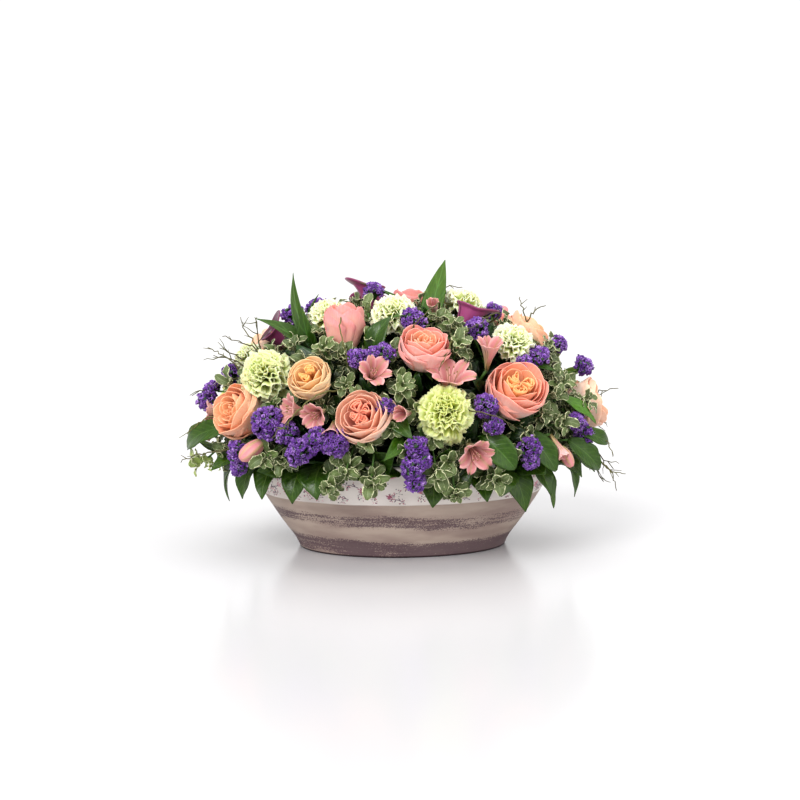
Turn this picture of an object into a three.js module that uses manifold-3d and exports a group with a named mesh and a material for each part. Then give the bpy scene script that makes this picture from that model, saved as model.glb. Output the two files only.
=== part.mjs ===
// An oval floral table centrepiece: garden roses, carnations, callas, alstroemeria, statice and
// mixed greenery, pushed into wet floral foam in an oval painted bowl.
//
// Millimetres, +Z up, +X along the bowl's length, -Y towards the viewer. The origin is the middle
// of the flat underside of the bowl.
//
// Every bloom and leafy stem is placed on one dome by longitude and latitude, and its stem runs
// back into the foam. Blooms, leaves and florets grow piece by piece: a piece that would touch
// what stands there already is bent aside by a few set nudges, and left out where none is clear.

import * as THREE from "three";
import { mergeVertices } from "three/addons/utils/BufferGeometryUtils.js";
import Module from "manifold-3d";

const wasm = await Module();
wasm.setup();

// ---------------------------------------------------------------- driving dimensions

const BOWL_HEIGHT = 104;
const BOWL_WALL = 5;
const BOWL_FLOOR = 8;
const BOWL_DEPTH_SHARE = 0.63; // half depth over half length, at every height
const BOWL_SEGMENTS = 32;
// [height, half length] up the outside: foot, flaring body, white band, rim
const BOWL_PROFILE = [[0, 111], [10, 115], [28, 129], [60, 150], [84, 160], [BOWL_HEIGHT, 165]];
// the same down the inside, before the wall is taken off
const BOWL_HOLLOW = [[BOWL_HEIGHT, 165], [BOWL_FLOOR, 114]];

const FOAM_SEGMENTS = 16;
const FOAM_TOP = 134;
// [height, half length, half depth]: straight sides, then a chamfer above the rim
const FOAM_PROFILE = [[BOWL_FLOOR + 0.3, 100, 56], [114, 104, 60], [FOAM_TOP, 80, 40]];

const DOME_CENTRE = new THREE.Vector3(0, 0, 120);
// half length, half depth and height of the flower dome
const DOME_REACH = new THREE.Vector3(205, 150, 150);

const ANCHOR_SHARE = [0.42, 0.25]; // how far out a stem's cut end lies, as a share of its bloom's place
const ANCHOR_HEIGHT = 108;
const ANCHOR_RISE = 0.05; // how much higher a higher bloom's stem ends

const GAP = 0.5; // the least air between two nodes
const HOLE_GAP = 0.45; // between a stem and its hole in the foam
const LEAF = 0.8; // thickness of leaves
const SPATHE = 1.2; // thickness of a calla's funnel
const SPATHE_COLUMNS = 12;
const STEM_SIDES = 4;
const TWIG_SIDES = 3;

const UP = new THREE.Vector3(0, 0, 1);

// How far down a stem its branches leave, as a share of the way to its cut end.
const FORKS = [0.45, 0.6, 0.3, 0.75];

// ---------------------------------------------------------------- where things stand

const rad = THREE.MathUtils.degToRad;

// The direction of a longitude (0 to the viewer, positive to the right) and a latitude.
function direction(lon, lat) {
  const c = Math.cos(rad(lat));
  return new THREE.Vector3(c * Math.sin(rad(lon)), -c * Math.cos(rad(lon)), Math.sin(rad(lat)));
}

// The point of the dome there, or inside it or outside it where lift isn't 1.
function onDome(lon, lat, lift = 1) {
  return direction(lon, lat).multiply(DOME_REACH).multiplyScalar(lift).add(DOME_CENTRE);
}

// The dome's outward normal there.
function outward(lon, lat) {
  return direction(lon, lat).divide(DOME_REACH).normalize();
}

// Where the stem of something at that point ends, inside the foam.
function anchorOf(point) {
  const height = ANCHOR_HEIGHT + ANCHOR_RISE * (point.z - DOME_CENTRE.z);
  return new THREE.Vector3(point.x * ANCHOR_SHARE[0], point.y * ANCHOR_SHARE[1], height);
}

// A frame whose +Z is the way a bloom faces, turned about it by roll degrees.
function frameAt(origin, facing, roll = 0) {
  const side = new THREE.Vector3().crossVectors(UP, facing);
  if (side.lengthSq() < 1e-6) side.set(1, 0, 0);
  side.normalize();
  const up = new THREE.Vector3().crossVectors(facing, side);
  return new THREE.Matrix4()
    .makeBasis(side, up, facing)
    .multiply(new THREE.Matrix4().makeRotationZ(rad(roll)))
    .setPosition(origin);
}

// ---------------------------------------------------------------- closed surfaces

// A solid from shared vertices and triangles, turned to face out.
function solidOf(vertices, triangles, matrix) {
  const flat = new Float32Array(vertices.length * 3);
  vertices.forEach((v, i) => (matrix ? v.clone().applyMatrix4(matrix) : v).toArray(flat, i * 3));
  const make = (faces) => {
    const triVerts = new Uint32Array(faces.flat());
    return new wasm.Manifold(new wasm.Mesh({ numProp: 3, vertProperties: flat, triVerts }));
  };
  const solid = make(triangles);
  return solid.volume() > 0 ? solid : make(triangles.map(([a, b, c]) => [a, c, b]));
}

// Rings of points, one after another, skinned and closed by a flat face at each end.
function loft(rings, matrix) {
  const n = rings[0].length;
  const triangles = [];
  for (let r = 0; r + 1 < rings.length; r++)
    for (let i = 0; i < n; i++) {
      const a = r * n + i;
      const b = r * n + ((i + 1) % n);
      triangles.push([a, b, b + n], [a, b + n, a + n]);
    }
  const last = (rings.length - 1) * n;
  for (let i = 1; i + 1 < n; i++) triangles.push([0, i + 1, i], [last, last + i, last + i + 1]);
  return solidOf(rings.flat(), triangles, matrix);
}

// A curved sheet of even thickness over a grid of points, with the same triangles on both faces.
function sheet(rows, thickness, matrix) {
  const [n, m] = [rows.length, rows[0].length];
  const faces = [[], []];
  rows.forEach((row, i) =>
    row.forEach((point, j) => {
      const along = rows[Math.min(i + 1, n - 1)][j].clone().sub(rows[Math.max(i - 1, 0)][j]);
      const across = row[Math.min(j + 1, m - 1)].clone().sub(row[Math.max(j - 1, 0)]);
      const half = along.cross(across).setLength(thickness / 2);
      faces[0].push(point.clone().add(half));
      faces[1].push(point.clone().sub(half));
    }),
  );
  const size = n * m;
  const upper = [];
  for (let i = 0; i + 1 < n; i++)
    for (let j = 0; j + 1 < m; j++) {
      const a = i * m + j;
      upper.push([a, a + 1, a + m + 1], [a, a + m + 1, a + m]);
    }
  const lower = upper.map(([a, b, c]) => [a + size, c + size, b + size]);
  const row = Array.from({ length: m }, (_, j) => j);
  const column = Array.from({ length: n }, (_, i) => i * m);
  const last = size - m;
  const loop = [
    ...column.slice(0, -1),
    ...row.slice(0, -1).map((j) => last + j),
    ...column.slice(1).reverse().map((i) => i + m - 1),
    ...row.slice(1).reverse(),
  ];
  return solidOf([...faces[0], ...faces[1]], [...upper, ...lower, ...rimOf(loop, size)], matrix);
}

// A tube along straight stretches, with a radius at each point.
function tube(points, radii, sides) {
  const rings = points.map((point, i) => {
    const [before, after] = [points[Math.max(i - 1, 0)], points[Math.min(i + 1, points.length - 1)]];
    const frame = frameAt(point, after.clone().sub(before).normalize());
    return Array.from({ length: sides }, (_, k) => {
      const angle = (2 * Math.PI * k) / sides;
      const [x, y] = [radii[i] * Math.cos(angle), radii[i] * Math.sin(angle)];
      return new THREE.Vector3(x, y, 0).applyMatrix4(frame);
    });
  });
  return loft(rings);
}

// An oval ring of the bowl or the foam.
function oval(height, halfLength, halfDepth, segments) {
  return Array.from({ length: segments }, (_, k) => {
    const angle = (2 * Math.PI * k) / segments;
    return new THREE.Vector3(halfLength * Math.cos(angle), halfDepth * Math.sin(angle), height);
  });
}

// A pointed leaf from its foot to its tip, arched away from the chord towards `rise`: two rows of
// left edge, midrib and right edge between the two points. fold lifts the edges.
function blade(foot, tip, rise, { width, rows, arch, fold }) {
  const chord = tip.clone().sub(foot);
  const length = chord.length();
  const across = new THREE.Vector3().crossVectors(chord, rise).normalize();
  const lift = new THREE.Vector3().crossVectors(across, chord).normalize();
  const stations = rows.flatMap(([t, share]) =>
    [-1, 0, 1].map((s) =>
      foot
        .clone()
        .addScaledVector(chord, t)
        .addScaledVector(across, (s * share * width) / 2)
        .addScaledVector(lift, 4 * arch * length * t * (1 - t) + Math.abs(s) * fold * share * width),
    ),
  );
  const face = [foot, ...stations, tip];
  const shifted = (by) => face.map((corner) => corner.clone().addScaledVector(lift, by));
  const corners = [...shifted(LEAF / 2), ...shifted(-LEAF / 2)];
  const upper = [[0, 2, 1], [0, 3, 2], [1, 2, 4], [2, 5, 4], [2, 3, 5], [3, 6, 5], [4, 5, 7], [5, 6, 7]];
  const lower = upper.map(([i, j, k]) => [i + 8, k + 8, j + 8]);
  return solidOf(corners, [...upper, ...lower, ...rimOf([0, 1, 4, 7, 6, 3], 8)]);
}

// The narrow faces between a loop of corners and the same loop on the other side.
function rimOf(loop, offset) {
  return loop.flatMap((i, k) => {
    const next = loop[(k + 1) % loop.length];
    return [[i, next, next + offset], [i, next + offset, i + offset]];
  });
}

// A whorl of small leaves round a twig's end, one thin sheet cut in to the twig between them. Each
// leaf is notch, wavy side, tip and other side; rise is the tips' height over their reach.
function whorl(frame, leaves, reach, rise) {
  const outline = Array.from({ length: leaves }, (_, k) => {
    const long = reach * (k % 2 ? 0.86 : 1);
    const wave = k % 2 ? 0.1 : -0.04;
    return [
      [-0.5, 0.14, 0],
      [-0.35, 0.62, 0.62 * rise + wave],
      [0, 1, rise],
      [0.35, 0.68, 0.68 * rise - wave],
    ].map(([turn, share, height]) => {
      const angle = (2 * Math.PI * (k + turn)) / leaves;
      const out = long * share;
      return new THREE.Vector3(out * Math.cos(angle), out * Math.sin(angle), long * height);
    });
  }).flat();
  const face = [new THREE.Vector3(), ...outline];
  const half = new THREE.Vector3(0, 0, LEAF * 0.65);
  const corners = [...face.map((c) => c.clone().add(half)), ...face.map((c) => c.clone().sub(half))];
  const count = outline.length;
  const loop = Array.from({ length: count }, (_, i) => i + 1);
  const upper = loop.map((i) => [0, i, (i % count) + 1]);
  const lower = upper.map(([i, j, k]) => [i + face.length, k + face.length, j + face.length]);
  const edge = rimOf(loop, face.length).map(([i, j, k]) => [i, k, j]);
  return solidOf(corners, [...upper, ...lower, ...edge], frame);
}

// ---------------------------------------------------------------- growing nodes clear of each other

const group = new THREE.Group();
const standing = []; // the solids so far
const holes = []; // what the stems take out of the foam

const SLIVER = 0.08; // fused nodes lose facets that stand out less than this
const ROOTED_SHARE = 0.06; // how much of a leaf or branch may lie inside its own node

// Where a stem's cut end may move to in the foam, in millimetres.
const ANCHOR_SHIFTS = [
  [0, 0], [6, 0], [-6, 0], [0, 6], [0, -6], [7, 7], [-7, 7], [7, -7], [-7, -7],
  [13, 0], [-13, 0], [13, 8], [-13, 8], [13, -8], [-13, -8], [20, 0], [-20, 0], [0, 14], [0, -14],
];

const isClear = (solid) => standing.every((other) => solid.minGap(other.solid, GAP) >= GAP);

// The one body that counts: fusing may leave a loose scrap.
function wholeOf(solids) {
  const bodies = wasm.Manifold.union(solids).decompose();
  return bodies.reduce((a, b) => (a.volume() > b.volume() ? a : b));
}

function addNode(name, solid, color, roughness = 0.7) {
  const { numProp, vertProperties, triVerts } = solid.getMesh();
  const positions = new Float32Array((vertProperties.length / numProp) * 3);
  for (let i = 0; i * numProp < vertProperties.length; i++)
    positions.set(vertProperties.subarray(i * numProp, i * numProp + 3), i * 3);
  const geometry = new THREE.BufferGeometry()
    .setAttribute("position", new THREE.BufferAttribute(positions, 3))
    .setIndex(new THREE.BufferAttribute(new Uint32Array(triVerts), 1));
  const material = new THREE.MeshStandardMaterial({ color, roughness, metalness: 0 });
  const mesh = new THREE.Mesh(geometry, material);
  mesh.name = name;
  group.add(mesh);
  standing.push({ name, solid });
}

// A tube down into the foam, with the hole that it needs there.
function stemTo(anchor, top, radius) {
  const along = top.clone().sub(anchor).normalize();
  const [beneath, beyond] = [-1, 60].map((step) => anchor.clone().addScaledVector(along, step));
  return {
    solid: tube([anchor, top], [radius, radius], STEM_SIDES),
    hole: tube([beneath, beyond], [radius + HOLE_GAP, radius + HOLE_GAP], STEM_SIDES),
  };
}

// Grows a node. Its head is tried from the largest down, on the first clear way into the foam, and
// then every piece takes its first clear try. Pieces are told where the stem ends.
function grow(name, color, { root, radius, heads, pieces = () => [] }) {
  for (const headOf of heads) {
    const head = headOf();
    if (!isClear(head)) continue;
    for (const [dx, dy] of ANCHOR_SHIFTS) {
      const anchor = anchorOf(root).add(new THREE.Vector3(dx, dy, 0));
      const { solid, hole } = stemTo(anchor, root, radius);
      if (!isClear(solid)) continue;
      holes.push(hole);
      const grown = [head, solid];
      for (const tries of pieces(anchor)) {
        const piece = firstClear(tries, grown);
        if (piece) grown.push(piece);
      }
      addNode(name, wholeOf(grown).simplify(SLIVER), color);
      return;
    }
  }
  const last = heads.at(-1)();
  const near = standing.filter((other) => other.solid.minGap(last, GAP) < GAP);
  throw new Error(`${name} has no clear place: ${near.map((other) => other.name).join(", ") || "stems"}`);
}

// The first of the tries that is clear of what stands and only rooted in its own node.
function firstClear(tries, grown) {
  for (const make of tries) {
    const solid = make();
    const shared = grown.reduce((sum, own) => sum + own.intersect(solid).volume(), 0);
    if (shared < ROOTED_SHARE * solid.volume() && isClear(solid)) return solid;
  }
  return undefined;
}

// ---------------------------------------------------------------- the bowl and its foam

function bowl() {
  const ring = ([height, half], wall) =>
    oval(height, half - wall, half * BOWL_DEPTH_SHARE - wall, BOWL_SEGMENTS);
  const outside = BOWL_PROFILE.map((row) => ring(row, 0));
  const inside = BOWL_HOLLOW.map((row) => ring(row, BOWL_WALL));
  return loft([...outside, ...inside]);
}

function foamBlock() {
  return loft(FOAM_PROFILE.map(([height, a, b]) => oval(height, a, b, FOAM_SEGMENTS)));
}

// ---------------------------------------------------------------- blooms, each in a frame that faces +Z

// A bloom carved as one closed skin: rings run up the outside of each layer of petals to its rim,
// down into the valley behind the next layer, and so on to the heart. Heights and radii are shares
// of the bloom's size, and edgeOf shifts them from corner to corner of a ring.
function carved(frame, size, sides, profile, edgeOf) {
  const rings = profile.map(([z, r, kind], layer) =>
    Array.from({ length: sides }, (_, k) => {
      const turn = (2 * Math.PI * k) / sides;
      const [dz, dr] = edgeOf(kind, k, layer);
      const reach = size * r * (1 + dr);
      return new THREE.Vector3(reach * Math.cos(turn), reach * Math.sin(turn), size * (z + dz));
    }),
  );
  return loft(rings, frame);
}

// Each try of a bloom is a little smaller.
const SHARES = [1, 0.94, 0.88, 0.82, 0.76, 0.7];

// [height, radius, kind of ring] from the calyx up over four layers of petals to the heart
const ROSE_RINGS = [
  [-0.8, 0.13, "smooth"], [-0.46, 0.72, "belly"], [-0.06, 1, "rim"],
  [-0.2, 0.74, "valley"], [0.24, 0.78, "rim"], [0, 0.55, "valley"], [0.42, 0.5, "rim"],
  [0.16, 0.34, "valley"], [0.42, 0.24, "rim"], [0.26, 0.08, "smooth"],
];

const ROSE_SIDES = 12; // three corners a petal
const CARNATION_SIDES = 14;
const STAR_SIDES = 12; // two corners a tepal
const BUD_SIDES = 6;

const BUD_RINGS = [[-1, 0.12], [-0.4, 0.45], [0.3, 0.5], [0.8, 0.26], [1, 0.06]];

// Petals take three corners each: the rim steps out along a petal and drops where the next begins.
function roseEdge(kind, k, layer) {
  const place = (k + layer) % 3;
  if (kind === "rim") return [[-0.1, 0.03, 0][place], [-0.09, 0, 0.06][place]];
  if (kind === "belly") return [0, [-0.05, 0, 0.03][place]];
  if (kind === "valley") return [0, [-0.04, 0, 0.03][place]];
  return [0, 0];
}

// A small rose has one layer of petals fewer.
const SMALL_ROSE = 27;
const SMALL_ROSE_RINGS = ROSE_RINGS.filter((_, i) => i !== 5 && i !== 6);

function rose([name, lon, lat, lift, size, faceLon, faceLat, roll, color, ...buds]) {
  const centre = onDome(lon, lat, lift);
  const facing = direction(faceLon, faceLat);
  const root = centre.clone().addScaledVector(facing, -0.5 * size);
  const rings = size < SMALL_ROSE ? SMALL_ROSE_RINGS : ROSE_RINGS;
  const frame = frameAt(centre, facing, roll);
  const head = (share) => carved(frame, size * share, ROSE_SIDES, rings, roseEdge);
  grow(name, color, {
    root,
    radius: 2.2,
    heads: SHARES.map((share) => () => head(share)),
    pieces: (anchor) => branching(root, anchor, buds.map(closedBud), 1.4),
  });
}

// A closed pointed bud that faces out of the dome, with its branch's root.
function closedBud([lon, lat, lift, size]) {
  const centre = onDome(lon, lat, lift);
  const facing = outward(lon, lat);
  const frame = frameAt(centre, facing);
  return {
    solidAt: (share) => carved(frame, size * share, BUD_SIDES, BUD_RINGS, () => [0, 0]),
    root: centre.clone().addScaledVector(facing, -0.5 * size),
  };
}

// [height, radius, kind of ring] from the calyx up over three ragged frills
const CARNATION_RINGS = [
  [-0.86, 0.2, "smooth"], [-0.14, 1, "ragged"], [-0.3, 0.66, "smooth"],
  [0.18, 0.8, "ragged"], [-0.04, 0.44, "smooth"], [0.44, 0.5, "ragged"], [0.14, 0.1, "smooth"],
];

// A frill's rim ripples up and down, and every third corner is cut back.
function carnationEdge(kind, k, layer) {
  if (kind !== "ragged") return [0, 0];
  return [k % 2 ? 0.1 : -0.1, [0.04, -0.16, 0, -0.06][(k + layer) % 4]];
}

function carnation([name, lon, lat, lift, size, faceLon, faceLat, roll, color]) {
  const centre = onDome(lon, lat, lift);
  const facing = direction(faceLon, faceLat);
  const frame = frameAt(centre, facing, roll);
  const head = (share) => carved(frame, size * share, CARNATION_SIDES, CARNATION_RINGS, carnationEdge);
  grow(name, color, {
    root: centre.clone().addScaledVector(facing, -0.45 * size),
    radius: 2,
    heads: SHARES.map((share) => () => head(share)),
  });
}

// The rolled funnel of a calla: a sheet wound round the axis, its lip drawn out to a point. Its last
// stretch winds outside the first, clear of it.
function spathe(frame, size) {
  const grid = [0, 0.5, 1].map((t) =>
    Array.from({ length: SPATHE_COLUMNS }, (_, j) => {
      const s = j / (SPATHE_COLUMNS - 1);
      const turn = rad(-190 + 380 * s);
      const lip = Math.max(0, Math.cos(turn)) ** 2;
      const r = size * (0.13 + 0.4 * t ** 1.6 + 0.5 * lip * t ** 3 + 0.12 * s);
      const z = size * (-1.1 + 1.4 * t + 0.4 * lip * t ** 2);
      return new THREE.Vector3(r * Math.cos(turn), r * Math.sin(turn), z);
    }),
  );
  return sheet(grid, SPATHE, frame);
}

function calla([name, lon, lat, lift, size, faceLon, faceLat, roll, color]) {
  const centre = onDome(lon, lat, lift);
  const facing = direction(faceLon, faceLat);
  const at = (z) => centre.clone().addScaledVector(facing, z * size);
  const head = (share) => {
    const spadix = tube([at(-1.15), at(0.1)], [0.19 * size, 0.06 * size], 4);
    return wasm.Manifold.union([spadix, spathe(frameAt(centre, facing, roll), size * share)]);
  };
  grow(name, color, {
    root: at(-0.95),
    radius: 3,
    heads: SHARES.map((share) => () => head(share)),
  });
}

// [height, radius, kind of ring] of an open alstroemeria: throat, tepal tips, throat again
const STAR_RINGS = [
  [-0.8, 0.16, "smooth"], [0.4, 0.95, "tips"], [0.46, 0.9, "tips"], [-0.1, 0.12, "smooth"],
];

// Six tepals: every second corner is a tip, and three of the tips reach less far.
function starEdge(kind, k) {
  if (kind !== "tips") return [0, 0];
  return k % 2 ? [-0.3, -0.46] : [0, k % 4 ? -0.12 : 0];
}

// A head faces out of the dome; where it isn't open it is a closed bud.
function alstroemeriaHead([lon, lat, lift, size, open]) {
  if (!open) return closedBud([lon, lat, lift, size]);
  const centre = onDome(lon, lat, lift);
  const facing = outward(lon, lat);
  const frame = frameAt(centre, facing);
  return {
    solidAt: (share) => carved(frame, size * share, STAR_SIDES, STAR_RINGS, starEdge),
    root: centre.clone().addScaledVector(facing, -0.5 * size),
  };
}

function alstroemeria([name, ...rows], color) {
  const [first, ...others] = rows.map(alstroemeriaHead);
  grow(name, color, {
    root: first.root,
    radius: 1.6,
    heads: SHARES.map((share) => () => first.solidAt(share)),
    pieces: (anchor) => branching(first.root, anchor, others, 1.4),
  });
}

// Further heads, each with a branch from a fork on the first one's stem. Where a head hangs low its
// branch goes over the bowl's rim first.
function branching(top, anchor, heads, radius) {
  return heads.map(({ solidAt, root }) =>
    FORKS.flatMap((share) => {
      const path = [top.clone().lerp(anchor, share), ...overRim(root), root];
      return SHARES.map((size) => () =>
        wasm.Manifold.union([tube(path, path.map(() => radius), TWIG_SIDES), solidAt(size)]));
    }),
  );
}

// The way over the rim to a low point, as a list of one point, or none where it isn't needed.
function overRim(point) {
  if (point.z > BOWL_HEIGHT + 20) return [];
  return [new THREE.Vector3(point.x * 0.82, point.y * 0.82, BOWL_HEIGHT + 26)];
}

const SMALL_HEAD = 12.5; // a statice head under this radius gets fewer florets
const FLORET_REACH = 1.1; // florets and hollows, as shares of their head's radius
const HOLLOW_REACH = 0.66;

// The corners and triangles of a ball about the origin.
function ballOf(detail) {
  const plain = new THREE.IcosahedronGeometry(1, detail).deleteAttribute("normal").deleteAttribute("uv");
  const merged = mergeVertices(plain, 1e-3);
  const places = merged.attributes.position;
  const cornerAt = (_, i) => new THREE.Vector3().fromBufferAttribute(places, i);
  const index = Array.from(merged.index.array);
  return {
    corners: Array.from({ length: places.count }, cornerAt),
    triangles: Array.from({ length: index.length / 3 }, (_, i) => index.slice(i * 3, i * 3 + 3)),
  };
}

const SMALL_BALL = ballOf(0);
const LARGE_BALL = ballOf(1);

// A head of papery florets: a small ball with every second corner drawn out, or a large one whose
// florets stand round twelve hollows.
function floretBall(centre, radius) {
  const isSmall = radius < SMALL_HEAD;
  const { corners, triangles } = isSmall ? SMALL_BALL : LARGE_BALL;
  const isHollow = (way) => SMALL_BALL.corners.some((hollow) => hollow.distanceTo(way) < 0.1);
  const vertices = corners.map((way, i) => {
    const isSunk = isSmall ? i % 2 : isHollow(way);
    return way.clone().multiplyScalar(radius * (isSunk ? HOLLOW_REACH : FLORET_REACH)).add(centre);
  });
  return solidOf(vertices, triangles);
}

// A branching spray: each head is [longitude, latitude, lift, radius].
function statice([name, ...rows], color) {
  const [first, ...others] = rows.map(([lon, lat, lift, radius]) => {
    const root = onDome(lon, lat, lift);
    return { root, solidAt: (share) => floretBall(root, radius * share) };
  });
  grow(name, color, {
    root: first.root,
    radius: 1.4,
    heads: SHARES.map((share) => () => first.solidAt(share)),
    pieces: (anchor) => branching(first.root, anchor, others, 1.1),
  });
}

// ---------------------------------------------------------------- greenery

// How far a leaf's tip may be bent aside, in degrees east and north.
const NUDGES = [[0, 0], [5, 3], [-5, 3], [6, -6], [-6, -6], [0, 9], [0, -9], [12, 3], [-12, 3]];
const BROAD_LEAF = { rows: [[0.34, 0.95], [0.68, 0.85]], arch: 0.12, fold: 0.16 };
const LANCE_LEAF = { rows: [[0.38, 0.9], [0.7, 0.75]], arch: 0.06, fold: 0.22 };

// A whorl is tried at these turns, sizes and rises.
const WHORL_TRIES = [
  [0, 1, 0.5], [25, 1, 0.3], [50, 1, 0.8], [0, 0.85, 0.5], [25, 0.85, 0.9], [50, 0.8, 0.3],
  [0, 0.7, 0.6], [25, 0.7, 1.2], [50, 0.6, 0.4], [0, 0.55, 1],
];
const WHORL_REACH = 27;

// [half length, half depth, height] of the thin stems that lie round outside the bowl's rim
const RUNNER = [169, 109, BOWL_HEIGHT + 3.4];

function runnerAt(lon) {
  return new THREE.Vector3(RUNNER[0] * Math.sin(rad(lon)), -RUNNER[1] * Math.cos(rad(lon)), RUNNER[2]);
}

// One leaf from its foot to a tip given as [longitude, latitude, lift, width], as a list of tries.
function leafTo(foot, [lon, lat, lift, width], form) {
  return NUDGES.map(([east, north]) => () => {
    const tip = onDome(lon + east, lat + north, lift);
    return blade(foot, tip, outward(lon, lat), { ...form, width });
  });
}

// Where the next leaf or twig down leaves a stem that ends at that joint.
function nodeBelow(joint, step) {
  const along = anchorOf(joint).sub(joint).normalize();
  return joint.clone().addScaledVector(along, 5 * step + 1);
}

// A leafy stem: its joint, then its leaves.
function leafyStem([name, place, ...leaves], color) {
  const joint = onDome(...place);
  grow(name, color, {
    root: joint,
    radius: 1.4,
    heads: [() => tube([nodeBelow(joint, 0), joint], [1.5, 0.8], TWIG_SIDES)],
    pieces: () => leaves.map((leaf, i) => leafTo(nodeBelow(joint, i), leaf, LANCE_LEAF)),
  });
}

// Leaves that hang over the rim from a runner: each is its foot's longitude, then its tip.
function rimLeaves([name, stemAt, ...leaves], color) {
  const feet = [...new Set([...leaves.map(([lon]) => lon), stemAt])].sort((a, b) => a - b).map(runnerAt);
  grow(name, color, {
    root: runnerAt(stemAt),
    radius: 1.4,
    heads: [() => tube(feet, feet.map(() => 1.4), TWIG_SIDES)],
    pieces: () => leaves.map(([lon, ...tip]) => leafTo(runnerAt(lon), tip, BROAD_LEAF)),
  });
}

// Sprigs that share a fork, a whorl of wavy leaves at the end of each: [longitude, latitude, lift].
function sprigs([name, ...rows], color) {
  const tips = rows.map((row) => onDome(...row));
  const limbTo = (anchor, [lon, lat, lift]) =>
    FORKS.map((share) => () => {
      const bend = onDome(lon, Math.max(lat, 6), 0.85);
      const path = [tips[0].clone().lerp(anchor, share), bend, onDome(lon, lat, lift)];
      return tube(path, [1.1, 1.1, 0.8], TWIG_SIDES);
    });
  const whorlsAt = (tip, k) => {
    const along = outward(rows[k][0], rows[k][1]);
    const root = tip.clone().addScaledVector(along, -3);
    return WHORL_TRIES.map(([turn, share, rise]) => () =>
      whorl(frameAt(root, along, turn + 17 * k), 5, WHORL_REACH * share, rise));
  };
  grow(name, color, {
    root: tips[0],
    radius: 1.2,
    heads: whorlsAt(tips[0], 0),
    pieces: (anchor) => [
      ...rows.slice(1).map((row) => limbTo(anchor, row)),
      ...tips.slice(1).map((tip, i) => whorlsAt(tip, i + 1)),
    ],
  });
}

// Thin bare twigs that stick out past the flowers: each is the place of its tip.
function bareTwigs([name, joint, ...tips], color) {
  const start = onDome(...joint);
  const twigTo = ([lon, lat, lift], i) =>
    NUDGES.map(([east, north]) => () =>
      tube([nodeBelow(start, i), onDome(lon + east, lat + north, lift)], [1.1, 0.6], TWIG_SIDES));
  grow(name, color, {
    root: start,
    radius: 1.3,
    heads: [() => tube([nodeBelow(start, 0), start], [1.4, 0.8], TWIG_SIDES)],
    pieces: () => tips.map(twigTo),
  });
}

// ---------------------------------------------------------------- the arrangement

// name, longitude, latitude, lift, radius, the way it faces (longitude, latitude), roll, colour, and
// for a rose with a bud on its stem the bud's longitude, latitude, lift and radius
const ROSES = [
  ["rose_1", -62, 14, 1, 29, -62, 20, 0, "#f5a582"],
  ["rose_2", -36, 31, 1.02, 25, -28, 48, 30, "#f7c48b"],
  ["rose_3", -16, 14, 1, 29, -28, 34, 60, "#f4bda0"],
  ["rose_4", 5, 43, 1, 29, 8, 58, 15, "#f29b93"],
  ["rose_5", 36, 23, 1, 33, 20, 46, 50, "#f5a08a"],
  ["rose_6", 85, 13, 1, 28, 92, 14, 10, "#f6c0a4"],
  ["rose_7", -36, 56, 1, 26, 170, 80, 0, "#ef9fa0"],
  ["rose_8", -114, 36, 1, 26, -110, 35, 20, "#eeaaa6"],
  ["rose_9", 92, 48, 1, 26, 105, 50, 40, "#f3b49c", [114, 54, 1, 13]],
  ["rose_10", 165, 76, 0.98, 23, 160, 78, 0, "#f2b8ae"],
  ["rose_11", 150, 18, 1, 31, 152, 32, 10, "#f2a08e"],
  ["rose_12", -165, 15, 1, 29, -168, 32, 35, "#f7c794"],
  ["rose_13", 125, 42, 1, 28, 130, 50, 0, "#f29b93"],
  ["rose_14", -140, 42, 1, 29, -142, 52, 25, "#f5b596"],
];

const CARNATIONS = [
  ["carnation_1", -65, 32, 0.94, 28, -45, 36, 0, "#dbe9a4"],
  ["carnation_2", 8, 17, 1.02, 34, 2, 20, 10, "#c9dc6b"],
  ["carnation_3", -67, 64, 1, 22, -40, 62, 20, "#e6efb6"],
  ["carnation_4", -11, 68, 1, 26, -10, 66, 0, "#e6efb6"],
  ["carnation_5", 52, 46, 1, 24, 45, 48, 5, "#dfeaa9"],
  ["carnation_6", 102, 70, 1, 24, 90, 68, 0, "#e6efb6"],
  ["carnation_7", -95, 35, 1, 18, -92, 34, 0, "#eef2c4"],
  ["carnation_8", 175, 38, 1, 30, 176, 42, 0, "#dbe9a4"],
  ["carnation_9", 118, 12, 1, 29, 116, 14, 8, "#e6efb6"],
  ["carnation_10", -118, 12, 1, 29, -116, 14, 3, "#c9dc6b"],
];

const CALLAS = [
  ["calla_1", -125, 79, 1, 23, -100, 78, -90, "#7a2f55"],
  ["calla_2", 51, 64, 1, 24, 60, 60, -40, "#7a2f55"],
  ["calla_3", -97, 47, 1, 20, -80, 45, 90, "#7a2f55"],
  ["calla_4", -165, 62, 1, 23, -160, 50, 0, "#7a2f55"],
];

// each head: longitude, latitude, lift, radius, whether open
const ALSTROEMERIAS = [
  ["alstroemeria_1", [-14, 34, 1, 21, true], [-4, 17, 1, 11, false]],
  ["alstroemeria_2", [-32, 16, 1, 18, true], [-41, 19, 0.98, 16, true], [-24, 15, 0.97, 15, true]],
  ["alstroemeria_3", [17, 31, 0.95, 15, true]],
  ["alstroemeria_4", [17, 0, 1, 22, true]],
  ["alstroemeria_5", [31, 41, 1, 19, true], [19, 66, 1, 17, true]],
  ["alstroemeria_6", [-83, 9, 1, 18, true], [-52, 2, 1.02, 12, false]],
  ["alstroemeria_7", [50, 0, 1, 13, false], [45, 4, 0.99, 11, false]],
  ["alstroemeria_8", [-142, 9, 1, 21, true]],
];

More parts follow.
